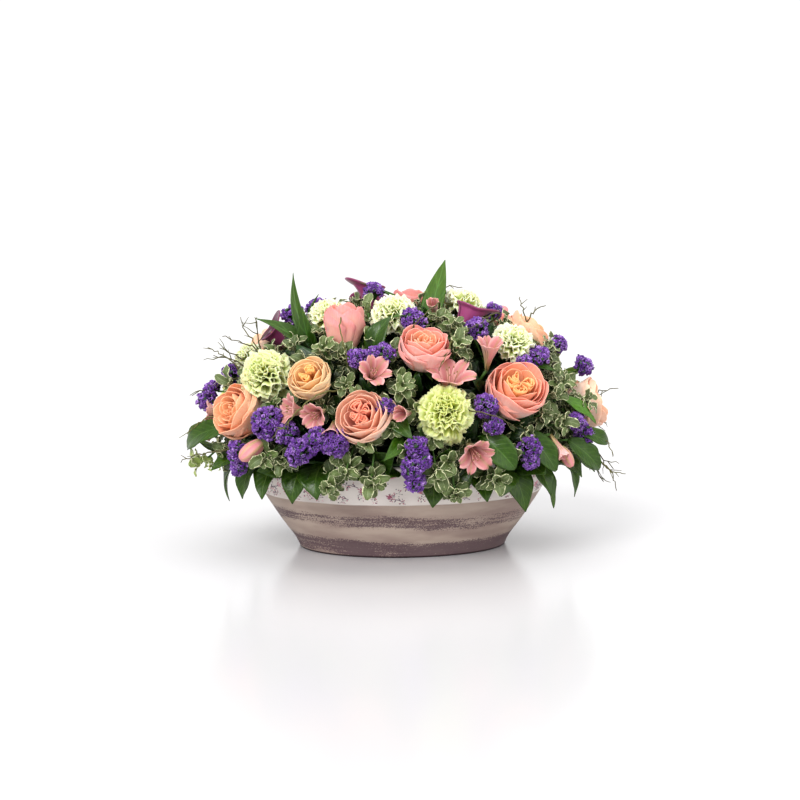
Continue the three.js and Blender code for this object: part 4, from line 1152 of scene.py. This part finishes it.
# outline (two powers), arch, fold, wave and how many rows and columns a leaf has
LANCE = {"shape": (0.75, 1.25), "arch": 0.07, "fold": 0.20, "wave": 0.3, "cells": (16, 9)}
SPEAR = {"shape": (0.32, 1.0), "arch": 0.04, "fold": 0.12, "wave": 0.2, "cells": (16, 9)}
BROAD = {"shape": (0.62, 1.0), "arch": 0.12, "fold": 0.14, "wave": 1.2, "cells": (14, 9)}
ROUND = {"shape": (0.55, 0.60), "arch": 0.14, "fold": 0.16, "wave": 1.5, "cells": (14, 9)}
WAVY = {"shape": (0.72, 0.48), "arch": 0.14, "fold": 0.12, "wave": 2.4, "cells": (9, 7)}
INNER = {"shape": (0.62, 1.0), "arch": 0.12, "fold": 0.14, "wave": 1.2, "cells": (8, 5)}


def leaf(growth, rng, foot, tip, rise, width, form, tint):
    """A leaf from its foot to its tip, arched away from the chord towards rise."""
    rows, columns = form["cells"]
    u, v = grid(rows, columns)
    chord = tip - foot
    length = np.linalg.norm(chord)
    across = unit(np.cross(chord, rise))
    lift = unit(np.cross(across, chord))
    half = width / 2 * np.maximum(beta(np.clip(v, 0.01, 0.99), *form["shape"]), 0.03)
    waves = 1.5 + 1.2 * rng.random()
    wave = form["wave"] * np.abs(u) ** 2 * np.sin(TAU * waves * v + TAU * rng.random() + 1.7 * np.sign(u))
    wave = wave * np.sin(np.pi * v) ** 0.5
    arch = form["arch"] * (0.5 + rng.random())
    curl = 4 * arch * length * v * (1 - v) + form["fold"] * 2 * half * np.abs(u) ** 1.3
    side = (0.12 * (rng.random() - 0.5)) * length * np.sin(np.pi * v)
    points = foot + v[..., None] * chord + (u * half + side)[..., None] * across
    points = points + (curl + wave)[..., None] * lift
    shade = tint * (0.80 + 0.4 * rng.random())
    paler = mixed(shade, shade * 1.35, (1 - np.abs(u)) * 0.4)
    growth.shells(points, LEAF, paler, grains_of(u, v, np.array(rng.random())), under=paler * 1.15)


BLOOMS = []  # centre, facing and size of every bloom, which leaves keep clear of


def is_free(*points):
    """True if no point lies in a bloom or in front of its face, in the bowl or near the table."""
    for x, y, z in points:
        in_mouth = (x / BOWL_MOUTH[0]) ** 2 + (y / BOWL_MOUTH[1]) ** 2 < 1
        if z < TABLE_GAP or (z < BOWL_HEIGHT + 1 and in_mouth):
            return False
    return not any(is_covered(point, *bloom) for point in points for bloom in BLOOMS)


def is_covered(point, centre, facing, size):
    """True if the point lies in a bloom or in front of its face."""
    away = point - centre
    high = away @ facing
    wide = np.linalg.norm(away - high * facing)
    reach = 0.95 if high > -0.2 * size else 0.75
    return -0.75 * size < high < 1.6 * size and wide < size * reach


DARK_GREEN = colour("#2a4608")
DEEP_GREEN = colour("#1a3810")
GREY_GREEN = colour("#5a683c")
FRESH_GREEN = colour("#4f7a22")
PALE_GREEN = colour("#a3b56a")
OVER_RIM = 4  # below this latitude a sprig grows out over the rim

# name, where the leaves' stems meet, and each leaf's tip, width and form
LANCE_LEAVES = [
    ("lance_leaves_1", (-62, 50, 0.85), (-84, 64, 1.31, 13, LANCE), (-81, 48, 1.16, 20, LANCE),
     (-68, 59, 1.11, 21, LANCE)),
    ("lance_leaves_2", (45, 78, 0.88), (119, 78, 1.27, 24, SPEAR), (-75, 78, 1.13, 13, LANCE),
     (-9, 59, 1.06, 27, BROAD)),
]

# single leaves among the blooms: foot and tip (each a longitude, a latitude and a lift), width, form
# and colour
SINGLE_LEAVES = [
    ((-18, 46, 0.88), (-10, 59, 1.07), 24, BROAD, DARK_GREEN * 0.9),
    ((-10, 22, 0.85), (-1, 8, 1.03), 22, BROAD, DARK_GREEN * 1.3),
    ((-4, 9, 0.90), (-9, 0, 1.04), 15, LANCE, DARK_GREEN * 1.4),
    ((22, 8, 0.90), (29, -5, 1.04), 30, ROUND, DARK_GREEN * 1.1),
    ((60, 20, 0.96), (66, 7, 1.07), 15, BROAD, FRESH_GREEN),
    ((58, 2, 0.96), (66, -10, 1.10), 24, ROUND, DARK_GREEN * 1.1),
    ((62, 6, 0.98), (72, -1, 1.10), 16, ROUND, DARK_GREEN),
    ((-72, 8, 0.95), (-90, -4, 1.13), 24, ROUND, DARK_GREEN * 1.1),
    ((-56, 24, 0.86), (-49, 15, 1.00), 11, BROAD, DARK_GREEN),
    ((40, 8, 0.90), (45, -8, 1.04), 26, ROUND, DARK_GREEN),
    ((104, 22, 0.92), (98, 23, 1.14), 12, LANCE, FRESH_GREEN),
    ((46, 38, 0.88), (56, 30, 1.04), 14, BROAD, DARK_GREEN),
    ((-98, 58, 0.9), (-104, 66, 1.10), 18, LANCE, DARK_GREEN),
    ((110, 30, 0.9), (120, 22, 1.08), 26, ROUND, DARK_GREEN * 1.2),
    ((158, 50, 0.9), (150, 62, 1.12), 20, LANCE, DARK_GREEN),
    ((-170, 46, 0.9), (-176, 58, 1.09), 22, BROAD, DARK_GREEN * 1.2),
    ((-150, 30, 0.9), (-150, 20, 1.06), 28, ROUND, DARK_GREEN * 1.2),
    ((-128, 44, 0.9), (-122, 36, 1.08), 20, BROAD, FRESH_GREEN),
    ((165, 26, 0.9), (158, 22, 1.06), 24, ROUND, DARK_GREEN),
    ((140, 30, 0.9), (136, 22, 1.07), 22, BROAD, FRESH_GREEN),
]

# fine bare twigs across the blooms and past the outline, each a path of longitude, latitude and lift
FINE_TWIGS = [
    [(-38, 62, 0.85), (-35, 58, 1.14), (-29, 50, 1.15), (-26, 44, 1.10), (-24, 39, 1.02)],
    [(-24, 30, 0.88), (-28, 25, 1.06), (-32, 19, 1.11), (-35, 13, 1.12), (-40, 7, 1.10)],
    [(30, 70, 0.85), (25, 68, 1.08), (11, 61, 1.10), (3, 55, 1.08), (-3, 50, 1.02)],
    [(22, 50, 0.88), (16, 47, 1.06), (13, 42, 1.08), (10, 38, 1.06), (9, 35, 1.00)],
    [(60, 60, 0.88), (56, 57, 1.08), (42, 56, 1.10), (30, 52, 1.07), (23, 51, 1.02)],
    [(14, 22, 0.88), (16, 18, 1.05), (20, 16, 1.08), (25, 14, 1.08), (31, 10, 1.02)],
    [(79, 44, 0.88), (81, 51, 1.04), (80, 56, 1.11), (90, 58, 1.16)],
    [(80, 48, 0.90), (82, 52, 1.08), (91, 52, 1.15), (96, 50, 1.19)],
    [(104, 6, 0.90), (102, 9, 1.06), (104, 13, 1.14), (97, 14, 1.21)],
    [(68, 0, 0.92), (71, 2, 1.06), (69, -1, 1.12), (68, -5, 1.15)],
    [(74, -2, 0.95), (72, -8, 1.07), (72, -12, 1.14), (79, -13, 1.21)],
    [(74, -4, 0.95), (74, -9, 1.08), (78, -13, 1.14), (78, -19, 1.20)],
    [(-84, 36, 0.90), (-85, 41, 1.02), (-97, 42, 1.12), (-97, 45, 1.20)],
    [(-78, 36, 0.90), (-82, 40, 1.02), (-86, 39, 1.10), (-96, 37, 1.18)],
    [(-80, 26, 0.90), (-82, 32, 1.06), (-92, 32, 1.13), (-94, 32, 1.20)],
    [(-76, 12, 0.92), (-78, 10, 1.05), (-76, 7, 1.12), (-74, 4, 1.17)],
    [(-60, 2, 0.92), (-65, -1, 1.08), (-71, -3, 1.15), (-76, -6, 1.20)],
    [(170, 60, 0.85), (165, 64, 1.06), (150, 66, 1.12), (140, 62, 1.15)],
    [(-150, 55, 0.85), (-148, 52, 1.06), (-140, 48, 1.12), (-134, 42, 1.10)],
    [(120, 30, 0.88), (122, 26, 1.06), (128, 20, 1.12), (134, 12, 1.12)],
    [(-165, 30, 0.88), (-168, 26, 1.06), (-174, 20, 1.11), (178, 12, 1.12)],
]

# name, the longitude of the stem down to the foam, and each leaf: its foot's longitude on the rim, its
# tip's longitude, latitude and lift, and its width
RIM_LEAVES = [
    ("broad_leaves_1", -66, [
        (-96, -98, -14, 1.03, 32), (-90, -90, 2, 1.12, 34), (-84, -84, -26, 1.02, 32),
        (-75, -74, -10, 1.06, 30), (-66, -66, -22, 1, 34), (-60, -56, 0, 1.02, 30),
        (-54, -53, -20, 1, 32), (-46, -50, -7, 1.02, 30), (-40, -41, -21, 0.98, 32),
        (-32, -31, -18, 0.98, 40), (-26, -24, -8, 1, 30)]),
    ("broad_leaves_2", 9, [
        (-18, -20, -9, 0.96, 30), (-14, -6, 2, 0.98, 34), (-8, -9, -8, 0.95, 26), (0, 4, -9, 0.94, 32),
        (7, 6, -22, 0.95, 34), (9, 10, 4, 0.98, 30), (15, 16, -17, 0.96, 32), (23, 24, -20, 0.97, 30),
        (27, 22, 0, 1, 38), (31, 26, -16, 1.03, 42)]),
    ("broad_leaves_3", 70, [
        (36, 42, -27, 0.98, 32), (42, 42, -9, 1.02, 36), (47, 47, -19, 1.03, 26), (54, 54, -26, 1.02, 20),
        (58, 58, -3, 1, 34), (64, 64, -14, 1.03, 34), (70, 70, -24, 1.02, 28), (76, 77, -14, 1.05, 42),
        (88, 90, -16, 1.04, 32), (98, 99, -8, 1.06, 34)]),
    ("broad_leaves_4", 182, [
        (108, 107, -18, 1.03, 36), (118, 118, -9, 1.04, 38), (129, 129, -20, 1, 36), (139, 138, -4, 1.02, 36),
        (149, 150, -20, 1, 38), (160, 160, -12, 1, 38), (171, 171, -20, 0.98, 38), (182, 182, 4, 0.98, 36),
        (191, 191, -20, 0.97, 38), (202, 202, -12, 1, 38), (212, 213, -20, 1, 36), (223, 223, -5, 1.02, 36),
        (234, 234, -21, 1.02, 38), (244, 244, -8, 1.04, 38), (254, 253, -19, 1.03, 36)]),
]

# name, and the longitude, latitude and lift of each sprig's tip
PITTOSPORUMS = [
    ("pittosporum_1", (-78, 24, 1), (-37, 44, 1), (-18, 25, 0.98), (-47, -1, 1), (-84, -8, 1.06)),
    ("pittosporum_2", (19, 45, 1), (-4, 28, 1), (71, 40, 1), (70, 17, 1.02), (60, 24, 0.98)),
    ("pittosporum_3", (52, 10, 0.98), (26, 57, 0.97), (6, -5, 1), (24, -9, 1), (-20, -4, 1),
     (-25, -11, 1), (-13, -9, 0.99), (12, -14, 0.98)),
    ("pittosporum_4", (170, 58, 1), (-32, 68, 1), (-130, 72, 0.98), (158, 32, 1), (112, 28, 1)),
    ("pittosporum_5", (-155, 28, 1), (-125, 27, 1), (-130, 2, 1), (180, 0, 1)),
]

# name, where the twigs branch, and their tips
TWIGS = [
    ("twigs_1", (-85, 34, 0.9), (-89, 34, 1.15), (-89, 31, 1.15), (-92, 48, 1.15), (-92, 15, 1.14)),
    ("twigs_2", (93, 0, 0.92), (99, 3, 1.12), (73, -16, 1.12), (79, -12, 1.14), (103, 12, 1.12)),
]


def lance_leaves(name, place, *leaves):
    """Long folded leaves from one stem."""
    rng = seeded(name)
    growth = Growth()
    joint = on_dome(*place)
    along = unit(anchor_of(joint) - joint)
    for i, (lon, lat, lift, width, form) in enumerate(leaves):
        foot = joint + along * (5 * i + 1)
        leaf(growth, rng, foot, on_dome(lon, lat, lift), outward(lon, lat), width, form, DARK_GREEN * 1.3)
    stem(growth, joint, 1.4)
    growth.dim_inside()
    dress(growth, name, "leaf_dark", "lance_leaf", "stem")


def rim_leaves(name, stem_at, leaves):
    """Broad leaves that hang over the rim from a thin stem round it."""
    rng = seeded(name)
    growth = Growth()
    feet = sorted({lon for lon, *_ in leaves} | {stem_at})
    runner = np.array([runner_at(lon) for lon in np.arange(feet[0], feet[-1] + 1, 2.0)])
    growth.tube(runner, 1.3, GREEN_STEM * 0.7, 6, 1)
    for lon, tip_lon, tip_lat, lift, width in leaves:
        foot, tip = runner_at(lon), on_dome(tip_lon, tip_lat, lift)
        leaf(growth, rng, foot, tip, outward(tip_lon, tip_lat), width, BROAD, DARK_GREEN)
    stem(growth, runner_at(stem_at), 1.4)
    growth.dim_inside()
    dress(growth, name, "leaf_dark", "dark_leaf", "stem")


def single_leaves():
    """Broad and narrow green leaves that stand alone among the blooms, each on its stem."""
    rng = seeded("single")
    growth = Growth()
    for foot_at, tip_at, width, form, tint in SINGLE_LEAVES:
        foot, tip = on_dome(*foot_at), on_dome(*tip_at)
        leaf(growth, rng, foot, tip, outward(tip_at[0], tip_at[1]), width, form, tint)
        stem(growth, foot, 1.1)
    growth.dim_inside()
    add_piece(growth, "single_leaves", "leaf_dark", "dark_leaf", "stem")


def fine_twigs():
    """Thin crooked twigs, each of one colour between dark brown and olive, with a few paler side shoots."""
    rng = seeded("fine_twigs")
    growth = Growth()
    for places in FINE_TWIGS:
        knots = np.array([on_dome(*place) for place in places])
        t = np.linspace(0, len(knots) - 1, 4 * len(knots))
        path = np.stack([np.interp(t, np.arange(len(knots)), knots[:, i]) for i in range(3)], axis=1)
        path[1:-1] = (path[:-2] + path[1:-1] + path[2:]) / 3 + rng.standard_normal((len(t) - 2, 3)) * 0.7
        tint = lerp(colour("#3a2f22"), colour("#6c6a3a"), rng.random())
        growth.tube(path, np.linspace(1.0, 0.42, len(t)), tint, 6)
        for at in rng.integers(len(t) // 2, len(t) - 2, 2):
            way = unit(unit(path[at + 1] - path[at]) + rng.standard_normal(3) * 0.55)
            shoot = curve(path[at], path[at] + way * (6 + 9 * rng.random()), 0, 4)
            growth.tube(shoot, np.linspace(0.5, 0.28, 4), tint * 1.2, 5)
        stem(growth, knots[0], 1.1, material=0)
    add_piece(growth, "fine_twigs", "twig_bark", "twig")


WHORL_CLIMBS = (42, 22, 4)  # how steeply the leaves of each whorl climb, from the tip down, in degrees


def sprig(growth, rng, tip, along, tint, form, length, whorls, leaves):
    """Whorls of leaves down from a twig's tip. A leaf that would stand in a bloom is left out."""
    for whorl in range(whorls):
        joint = tip - along * (1.5 + whorl * 0.45 * length)
        stand = Stand(joint, unit(along + 0.25 * rng.standard_normal(3)), 360 * rng.random())
        count = leaves - whorl
        for i in range(count):
            turn = TAU * (i + 0.6 * rng.random()) / count
            climb = math.radians(WHORL_CLIMBS[whorl] + 44 * (rng.random() - 0.5))
            reach = length * (0.55 + 0.6 * rng.random())
            way = polar(math.cos(climb), turn, math.sin(climb))
            foot, end = stand.place(way), stand.place(way * reach)
            if is_free((foot + end) / 2, end):
                width = reach * (0.42 + 0.14 * rng.random())
                leaf(growth, rng, foot, end, along, width, form, tint)


def pittosporum(name, *rows):
    """Sprigs of variegated leaves, each with a stem down into the foam."""
    rng = seeded(name)
    growth = Growth()
    for i, row in enumerate(rows):
        tip, along = on_dome(*row), outward(row[0], row[1])
        tint = GREY_GREEN if i < 4 or name != "pittosporum_1" else PALE_GREEN
        sprig(growth, rng, tip, along, tint, WAVY, 20, 3, 7)
        root = tip - along * 2
        if row[1] > OVER_RIM:
            stem(growth, root, 1.1)
        else:
            path = [root, on_dome(row[0], 5, 0.86), on_dome(row[0], 12, 0.74), anchor_of(root)]
            growth.tube(path, 1.1, GREEN_STEM, 6, 1)
    growth.dim_inside()
    dress(growth, name, "leaf_grey_green", "variegated", "stem")


def twigs(name, place, *tips):
    """Bare crooked twigs from one stem, each with short side twigs."""
    rng = seeded(name)
    growth = Growth()
    start = on_dome(*place)
    for lon, lat, lift in tips:
        tip = on_dome(lon, lat, lift)
        path = curve(start, tip, 0, 9)
        path[1:-1] += rng.standard_normal((7, 3)) * 1.4
        growth.tube(path, np.linspace(1.1, 0.45, 9), colour("#3b3327"), 6)
        for at in (4, 5, 6, 7):
            way = unit(path[at + 1] - path[at]) + rng.standard_normal(3) * 0.45
            end = path[at] + unit(way) * (9 + 12 * rng.random())
            side = curve(path[at], end, 0, 4)
            side[1:-1] += rng.standard_normal((2, 3)) * 0.8
            growth.tube(side, np.linspace(0.6, 0.28, 4), colour("#4a4a2b"), 5)
    stem(growth, start, 1.3, material=0)
    dress(growth, name, "twig_bark", "twig")


# ---------------------------------------------------------------- filling leaves


def dome_spread(count, low, high, turn=0.0):
    """Longitudes and latitudes spread evenly over the dome between two latitudes."""
    s = np.linspace(math.sin(math.radians(low)), math.sin(math.radians(high)), count)
    lons = (np.arange(count) * GOLDEN_ANGLE + turn) % 360 - 180
    return [(lon, math.degrees(math.asin(z))) for lon, z in zip(lons, s)]


FILLED_SIDES = ["back_left", "front_left", "front_right", "back_right"]
FILLING_COUNT = 190
INNER_COUNT = 110


def filling_sprigs():
    """Variegated sprigs in the gaps between the blooms, in one piece for each side."""
    rng = seeded("filling")
    growths = [Growth() for _ in FILLED_SIDES]
    for lon, lat in dome_spread(FILLING_COUNT, -3, 89):
        growth = growths[int((lon + 180) // (360 / len(growths))) % len(growths)]
        lift = 0.88 + 0.09 * rng.random()
        tip, along = on_dome(lon, lat, lift), outward(lon, lat)
        if is_free(tip + along * 4):
            shade = GREY_GREEN * (0.70 + 0.40 * rng.random())
            sprig(growth, rng, tip, along, shade, WAVY, 18, 3, 7)
            if lat > OVER_RIM:
                stem(growth, tip - along * 2, 0.9)
    for side, growth in zip(FILLED_SIDES, growths):
        growth.dim_inside()
        add_piece(growth, "filling_sprigs_" + side, "leaf_grey_green", "variegated", "stem")


def inner_leaves():
    """Dark leaves deep among the stems, which close the view to the foam."""
    rng = seeded("inner")
    growth = Growth()
    for lon, lat in dome_spread(INNER_COUNT, 4, 88, 60):
        lift = 0.68 + 0.12 * rng.random()
        tip, along = on_dome(lon, lat, lift), outward(lon, lat)
        sprig(growth, rng, tip, along, DEEP_GREEN, INNER, 40, 2, 6)
        stem(growth, tip - along * 2, 1.0)
    growth.dim_inside()
    add_piece(growth, "inner_leaves", "leaf_dark", "dark_leaf", "stem")


# ---------------------------------------------------------------- the bowl


def bowl_half_length(height):
    """The bowl's half length there, straight from its profile."""
    heights, halves = zip(*BOWL_PROFILE)
    return np.interp(height, heights, halves)


def smooth_half_length(height):
    """The bowl's half length there, with the profile's corners eased."""
    spread = np.linspace(-7, 7, 9)
    samples = [bowl_half_length(np.clip(height + s, 0, BOWL_HEIGHT)) for s in spread]
    keep = smooth(0, 9, height) * (1 - smooth(96, 104, height))
    return keep * np.mean(samples, axis=0) + (1 - keep) * bowl_half_length(height)


def bowl():
    """The bowl as one turned skin, from under the foot over the rim to the middle of its floor."""
    growth = Growth()
    sides = 192
    turns = np.arange(sides) * TAU / sides
    foot = [(0, -2.0), (0, -0.8), (0.5, -0.2)]
    side = [(z, 0.0) for z in np.linspace(1.5, 101.5, 44)]
    rim = [(102.9, -0.35), (103.7, -1.2), (BOWL_HEIGHT, -2.3), (103.8, -3.6), (103.1, -4.6)]
    rows = [(z, smooth_half_length(z) + inset, inset) for z, inset in foot + side + rim]
    for z in (101, 60, 20, 9.5, BOWL_FLOOR):
        rows.append((z, np.interp(z, [BOWL_FLOOR, BOWL_HEIGHT], BOWL_INSIDE) - BOWL_WALL, -BOWL_WALL))
    rings = []
    for z, half, inset in rows:
        depth = (half - inset) * BOWL_DEPTH_SHARE + inset
        rings.append(polar(1.0, turns, z) * [half, depth, 1.0])
    growth.loft(np.array(rings), colour("#a39684"))
    dress(growth, "bowl", "bowl_glaze", "bowl")


class Print:
    """Thin painted marks on the bowl's side, placed by the turn round it and by height."""

    DEPTHS = (-0.15, 0.12)
    LOWEST, HIGHEST = WHITE_BAND_FROM + 1.5, 101.0
    HALF_LENGTH = 160  # of the bowl at the band

    def __init__(self):
        self.growth = Growth()

    def patch(self, turn, height, across, along, tint):
        """A mark from its outline in millimetres across and up from a place on the bowl."""
        reach = self.HALF_LENGTH * math.hypot(math.sin(turn), BOWL_DEPTH_SHARE * math.cos(turn))
        turns = turn + np.asarray(across) / reach
        heights = np.clip(height + np.asarray(along), self.LOWEST, self.HIGHEST)
        rings = []
        for depth in self.DEPTHS:
            half = smooth_half_length(heights) + depth
            wide = half * BOWL_DEPTH_SHARE
            rings.append(np.stack([half * np.cos(turns), wide * np.sin(turns), heights], axis=-1))
        self.growth.loft(np.array(rings), tint)

    def petal(self, turn, height, at, way, length, width, tint, point=0.0):
        """An oval from its foot outwards, drawn to a point by a share."""
        t = np.arange(8) * TAU / 8
        x = length / 2 * (1 + np.cos(t))
        y = width / 2 * np.sin(t) * (1 - point * (1 + np.cos(t)) / 2)
        c, s = math.cos(way), math.sin(way)
        self.patch(turn, height, at[0] + x * c - y * s, at[1] + x * s + y * c, tint)

    def stroke(self, turn, height, points, width, tint):
        """A line of even width along points."""
        points = np.asarray(points, float)
        along = np.gradient(points, axis=0)
        side = np.stack([-along[:, 1], along[:, 0]], axis=1)
        side = side / np.linalg.norm(side, axis=1, keepdims=True) * width / 2
        outline = np.concatenate([points - side, (points + side)[::-1]])
        self.patch(turn, height, outline[:, 0], outline[:, 1], tint)


PRINT_PINKS = [colour(c) for c in ("#c68794", "#b87082", "#d6a2aa", "#a45f74")]
PRINT_INKS = [colour(c) for c in ("#5a4c5c", "#745e6c", "#867a7c")]
BUD_HEIGHTS = (70, 84, 76, 91)
CLUSTER_HEIGHTS = (74, 66, 82, 95, 88, 69)


def bowl_print():
    """A small all-over pattern of buds on curved stems, with clusters of dots between them."""
    rng = seeded("print")
    marks = Print()
    buds, clusters = 60, 180
    for i in range(buds):
        turn = TAU * (i + 0.5 * rng.random()) / buds
        bud_sprig(marks, rng, turn, BUD_HEIGHTS[i % 4] + 3 * (rng.random() - 0.5))
    for i in range(clusters):
        turn = TAU * (i + 0.7 * rng.random()) / clusters
        dot_cluster(marks, rng, turn, CLUSTER_HEIGHTS[i % 6] + 3 * (rng.random() - 0.5))
    add_piece(marks.growth, "bowl_print", "bowl_glaze", "print", soft=False)


def bud_sprig(marks, rng, turn, height):
    """A curved stem with two leaves and a bud of three pointed petals."""
    side = rng.choice((-1, 1))
    t = np.linspace(0, 1, 6)
    length = 11 + 6 * rng.random()
    path = np.stack([side * length * (t - 0.6), 5 * t**2 - 3.5 + 1.5 * np.sin(4 * t)], axis=1)
    ink = PRINT_INKS[rng.integers(3)]
    marks.stroke(turn, height, path, 0.7, ink)
    ahead = 0.0 if side > 0 else math.pi
    for j in (1, 3):
        marks.petal(turn, height, path[j], ahead + side * (1.0 if j == 1 else -0.9), 4.2, 1.7, ink, 0.7)
    pink = PRINT_PINKS[rng.integers(4)]
    for spread, share in ((-0.45, 1.0), (0.45, 1.0), (0.0, 1.25)):
        tint = pink * (0.8 + 0.4 * rng.random())
        marks.petal(turn, height, path[-1], ahead + side * (0.5 + spread), 6.4 * share, 3.8, tint, 0.75)
    marks.petal(turn, height, path[-1], ahead + side * 0.5, 2.2, 1.6, ink, 0.5)


def dot_cluster(marks, rng, turn, height):
    """Small dots scattered round a spot, with fine stalks towards some of them."""
    for _ in range(int(rng.integers(8, 16))):
        way, away = TAU * rng.random(), 0.8 + 3.6 * rng.random()
        spot = np.array([away * math.cos(way) * 1.3, away * math.sin(way)])
        tint = PRINT_INKS[rng.integers(3)] if rng.random() < 0.55 else PRINT_PINKS[rng.integers(4)]
        marks.petal(turn, height, spot, way, 1.2 + 0.9 * rng.random(), 1.2, tint)
        if rng.random() < 0.35:
            marks.stroke(turn, height, np.array([spot * 0.2, spot * 0.6, spot]), 0.4, PRINT_INKS[2])


# ---------------------------------------------------------------- the room

FLOOR_HALF = 40.0  # metres
SKY_STRENGTH = 0.88

# each lamp: the side it shines from, its power (W/m2) and its width (radians)
LAMPS = {
    "key": ((-1.3, -1.9, 1.9), 1.9, 0.5),
    "fill": ((1.9, -1.3, 1.1), 0.7, 0.9),
    "top": ((0.1, 0.5, 2.2), 0.9, 1.1),
}


def room():
    """A wide pale floor under an even sky, with three soft lamps."""
    mesh = bpy.data.meshes.new("floor")
    corners = [(x * FLOOR_HALF, y * FLOOR_HALF, 0) for x, y in ((-1, -1), (1, -1), (1, 1), (-1, 1))]
    mesh.from_pydata(corners, [], [(0, 1, 2, 3)])
    mesh.materials.append(MATERIALS["floor"])
    floor = bpy.data.objects.new("floor", mesh)
    bpy.context.scene.collection.objects.link(floor)
    world = bpy.data.worlds.new("studio")
    bpy.context.scene.world = world
    world.use_nodes = True
    sky = world.node_tree.nodes["Background"]
    sky.inputs["Color"].default_value = (1.0, 1.0, 1.0, 1)
    sky.inputs["Strength"].default_value = SKY_STRENGTH
    for name, (place, power, width) in LAMPS.items():
        lamp(name, place, power, width)
    bpy.context.scene.view_settings.view_transform = "Standard"
    bpy.context.scene.view_settings.look = "Medium High Contrast"


def lamp(name, place, power, width):
    """A far soft lamp that shines from that side, of that power (W/m2) and width (radians)."""
    light = bpy.data.lights.new(name, "SUN")
    light.angle = width
    light.energy = power
    piece = bpy.data.objects.new(name, light)
    piece.rotation_euler = (-Vector(place)).to_track_quat("-Z", "Y").to_euler()
    bpy.context.scene.collection.objects.link(piece)


def camera():
    """The camera of the photograph."""
    a, e = math.radians(CAMERA_AZIMUTH), math.radians(CAMERA_ELEVATION)
    back = np.array([math.sin(a) * math.cos(e), -math.cos(a) * math.cos(e), math.sin(e)])
    view = bpy.data.cameras.new("camera")
    view.lens = CAMERA_LENS
    view.sensor_width = 36
    view.clip_end = 50
    eye = bpy.data.objects.new("camera", view)
    eye.location = Vector((CAMERA_TARGET + back * CAMERA_DISTANCE) * MM)
    eye.rotation_euler = Vector(-back).to_track_quat("-Z", "Y").to_euler()
    bpy.context.scene.collection.objects.link(eye)
    bpy.context.scene.camera = eye


# ---------------------------------------------------------------- growing it all

camera()
room()
for row in ROSES + CARNATIONS + CALLAS:
    _, lon, lat, lift, size, face_lon, face_lat, *_ = row
    BLOOMS.append((on_dome(lon, lat, lift), direction(face_lon, face_lat), size))
for _, *heads in ALSTROEMERIAS:
    BLOOMS += [(on_dome(*head[:3]), direction(*head[5:]), 0.75 * head[3]) for head in heads]
for _, *heads in STATICES:
    BLOOMS += [(on_dome(*head[:3]), outward(*head[:2]), 0.9 * head[3]) for head in heads]

bowl()
bowl_print()
GROWN = [
    (rose, ROSES), (carnation, CARNATIONS), (calla, CALLAS), (alstroemeria, ALSTROEMERIAS),
    (statice, STATICES), (lance_leaves, LANCE_LEAVES), (rim_leaves, RIM_LEAVES),
    (pittosporum, PITTOSPORUMS), (twigs, TWIGS),
]
for grow, rows in GROWN:
    for row in rows:
        grow(*row)
single_leaves()
fine_twigs()
filling_sprigs()
inner_leaves()

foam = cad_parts["floral_foam"]
for slot in foam.material_slots:
    slot.material = MATERIALS["foam"]
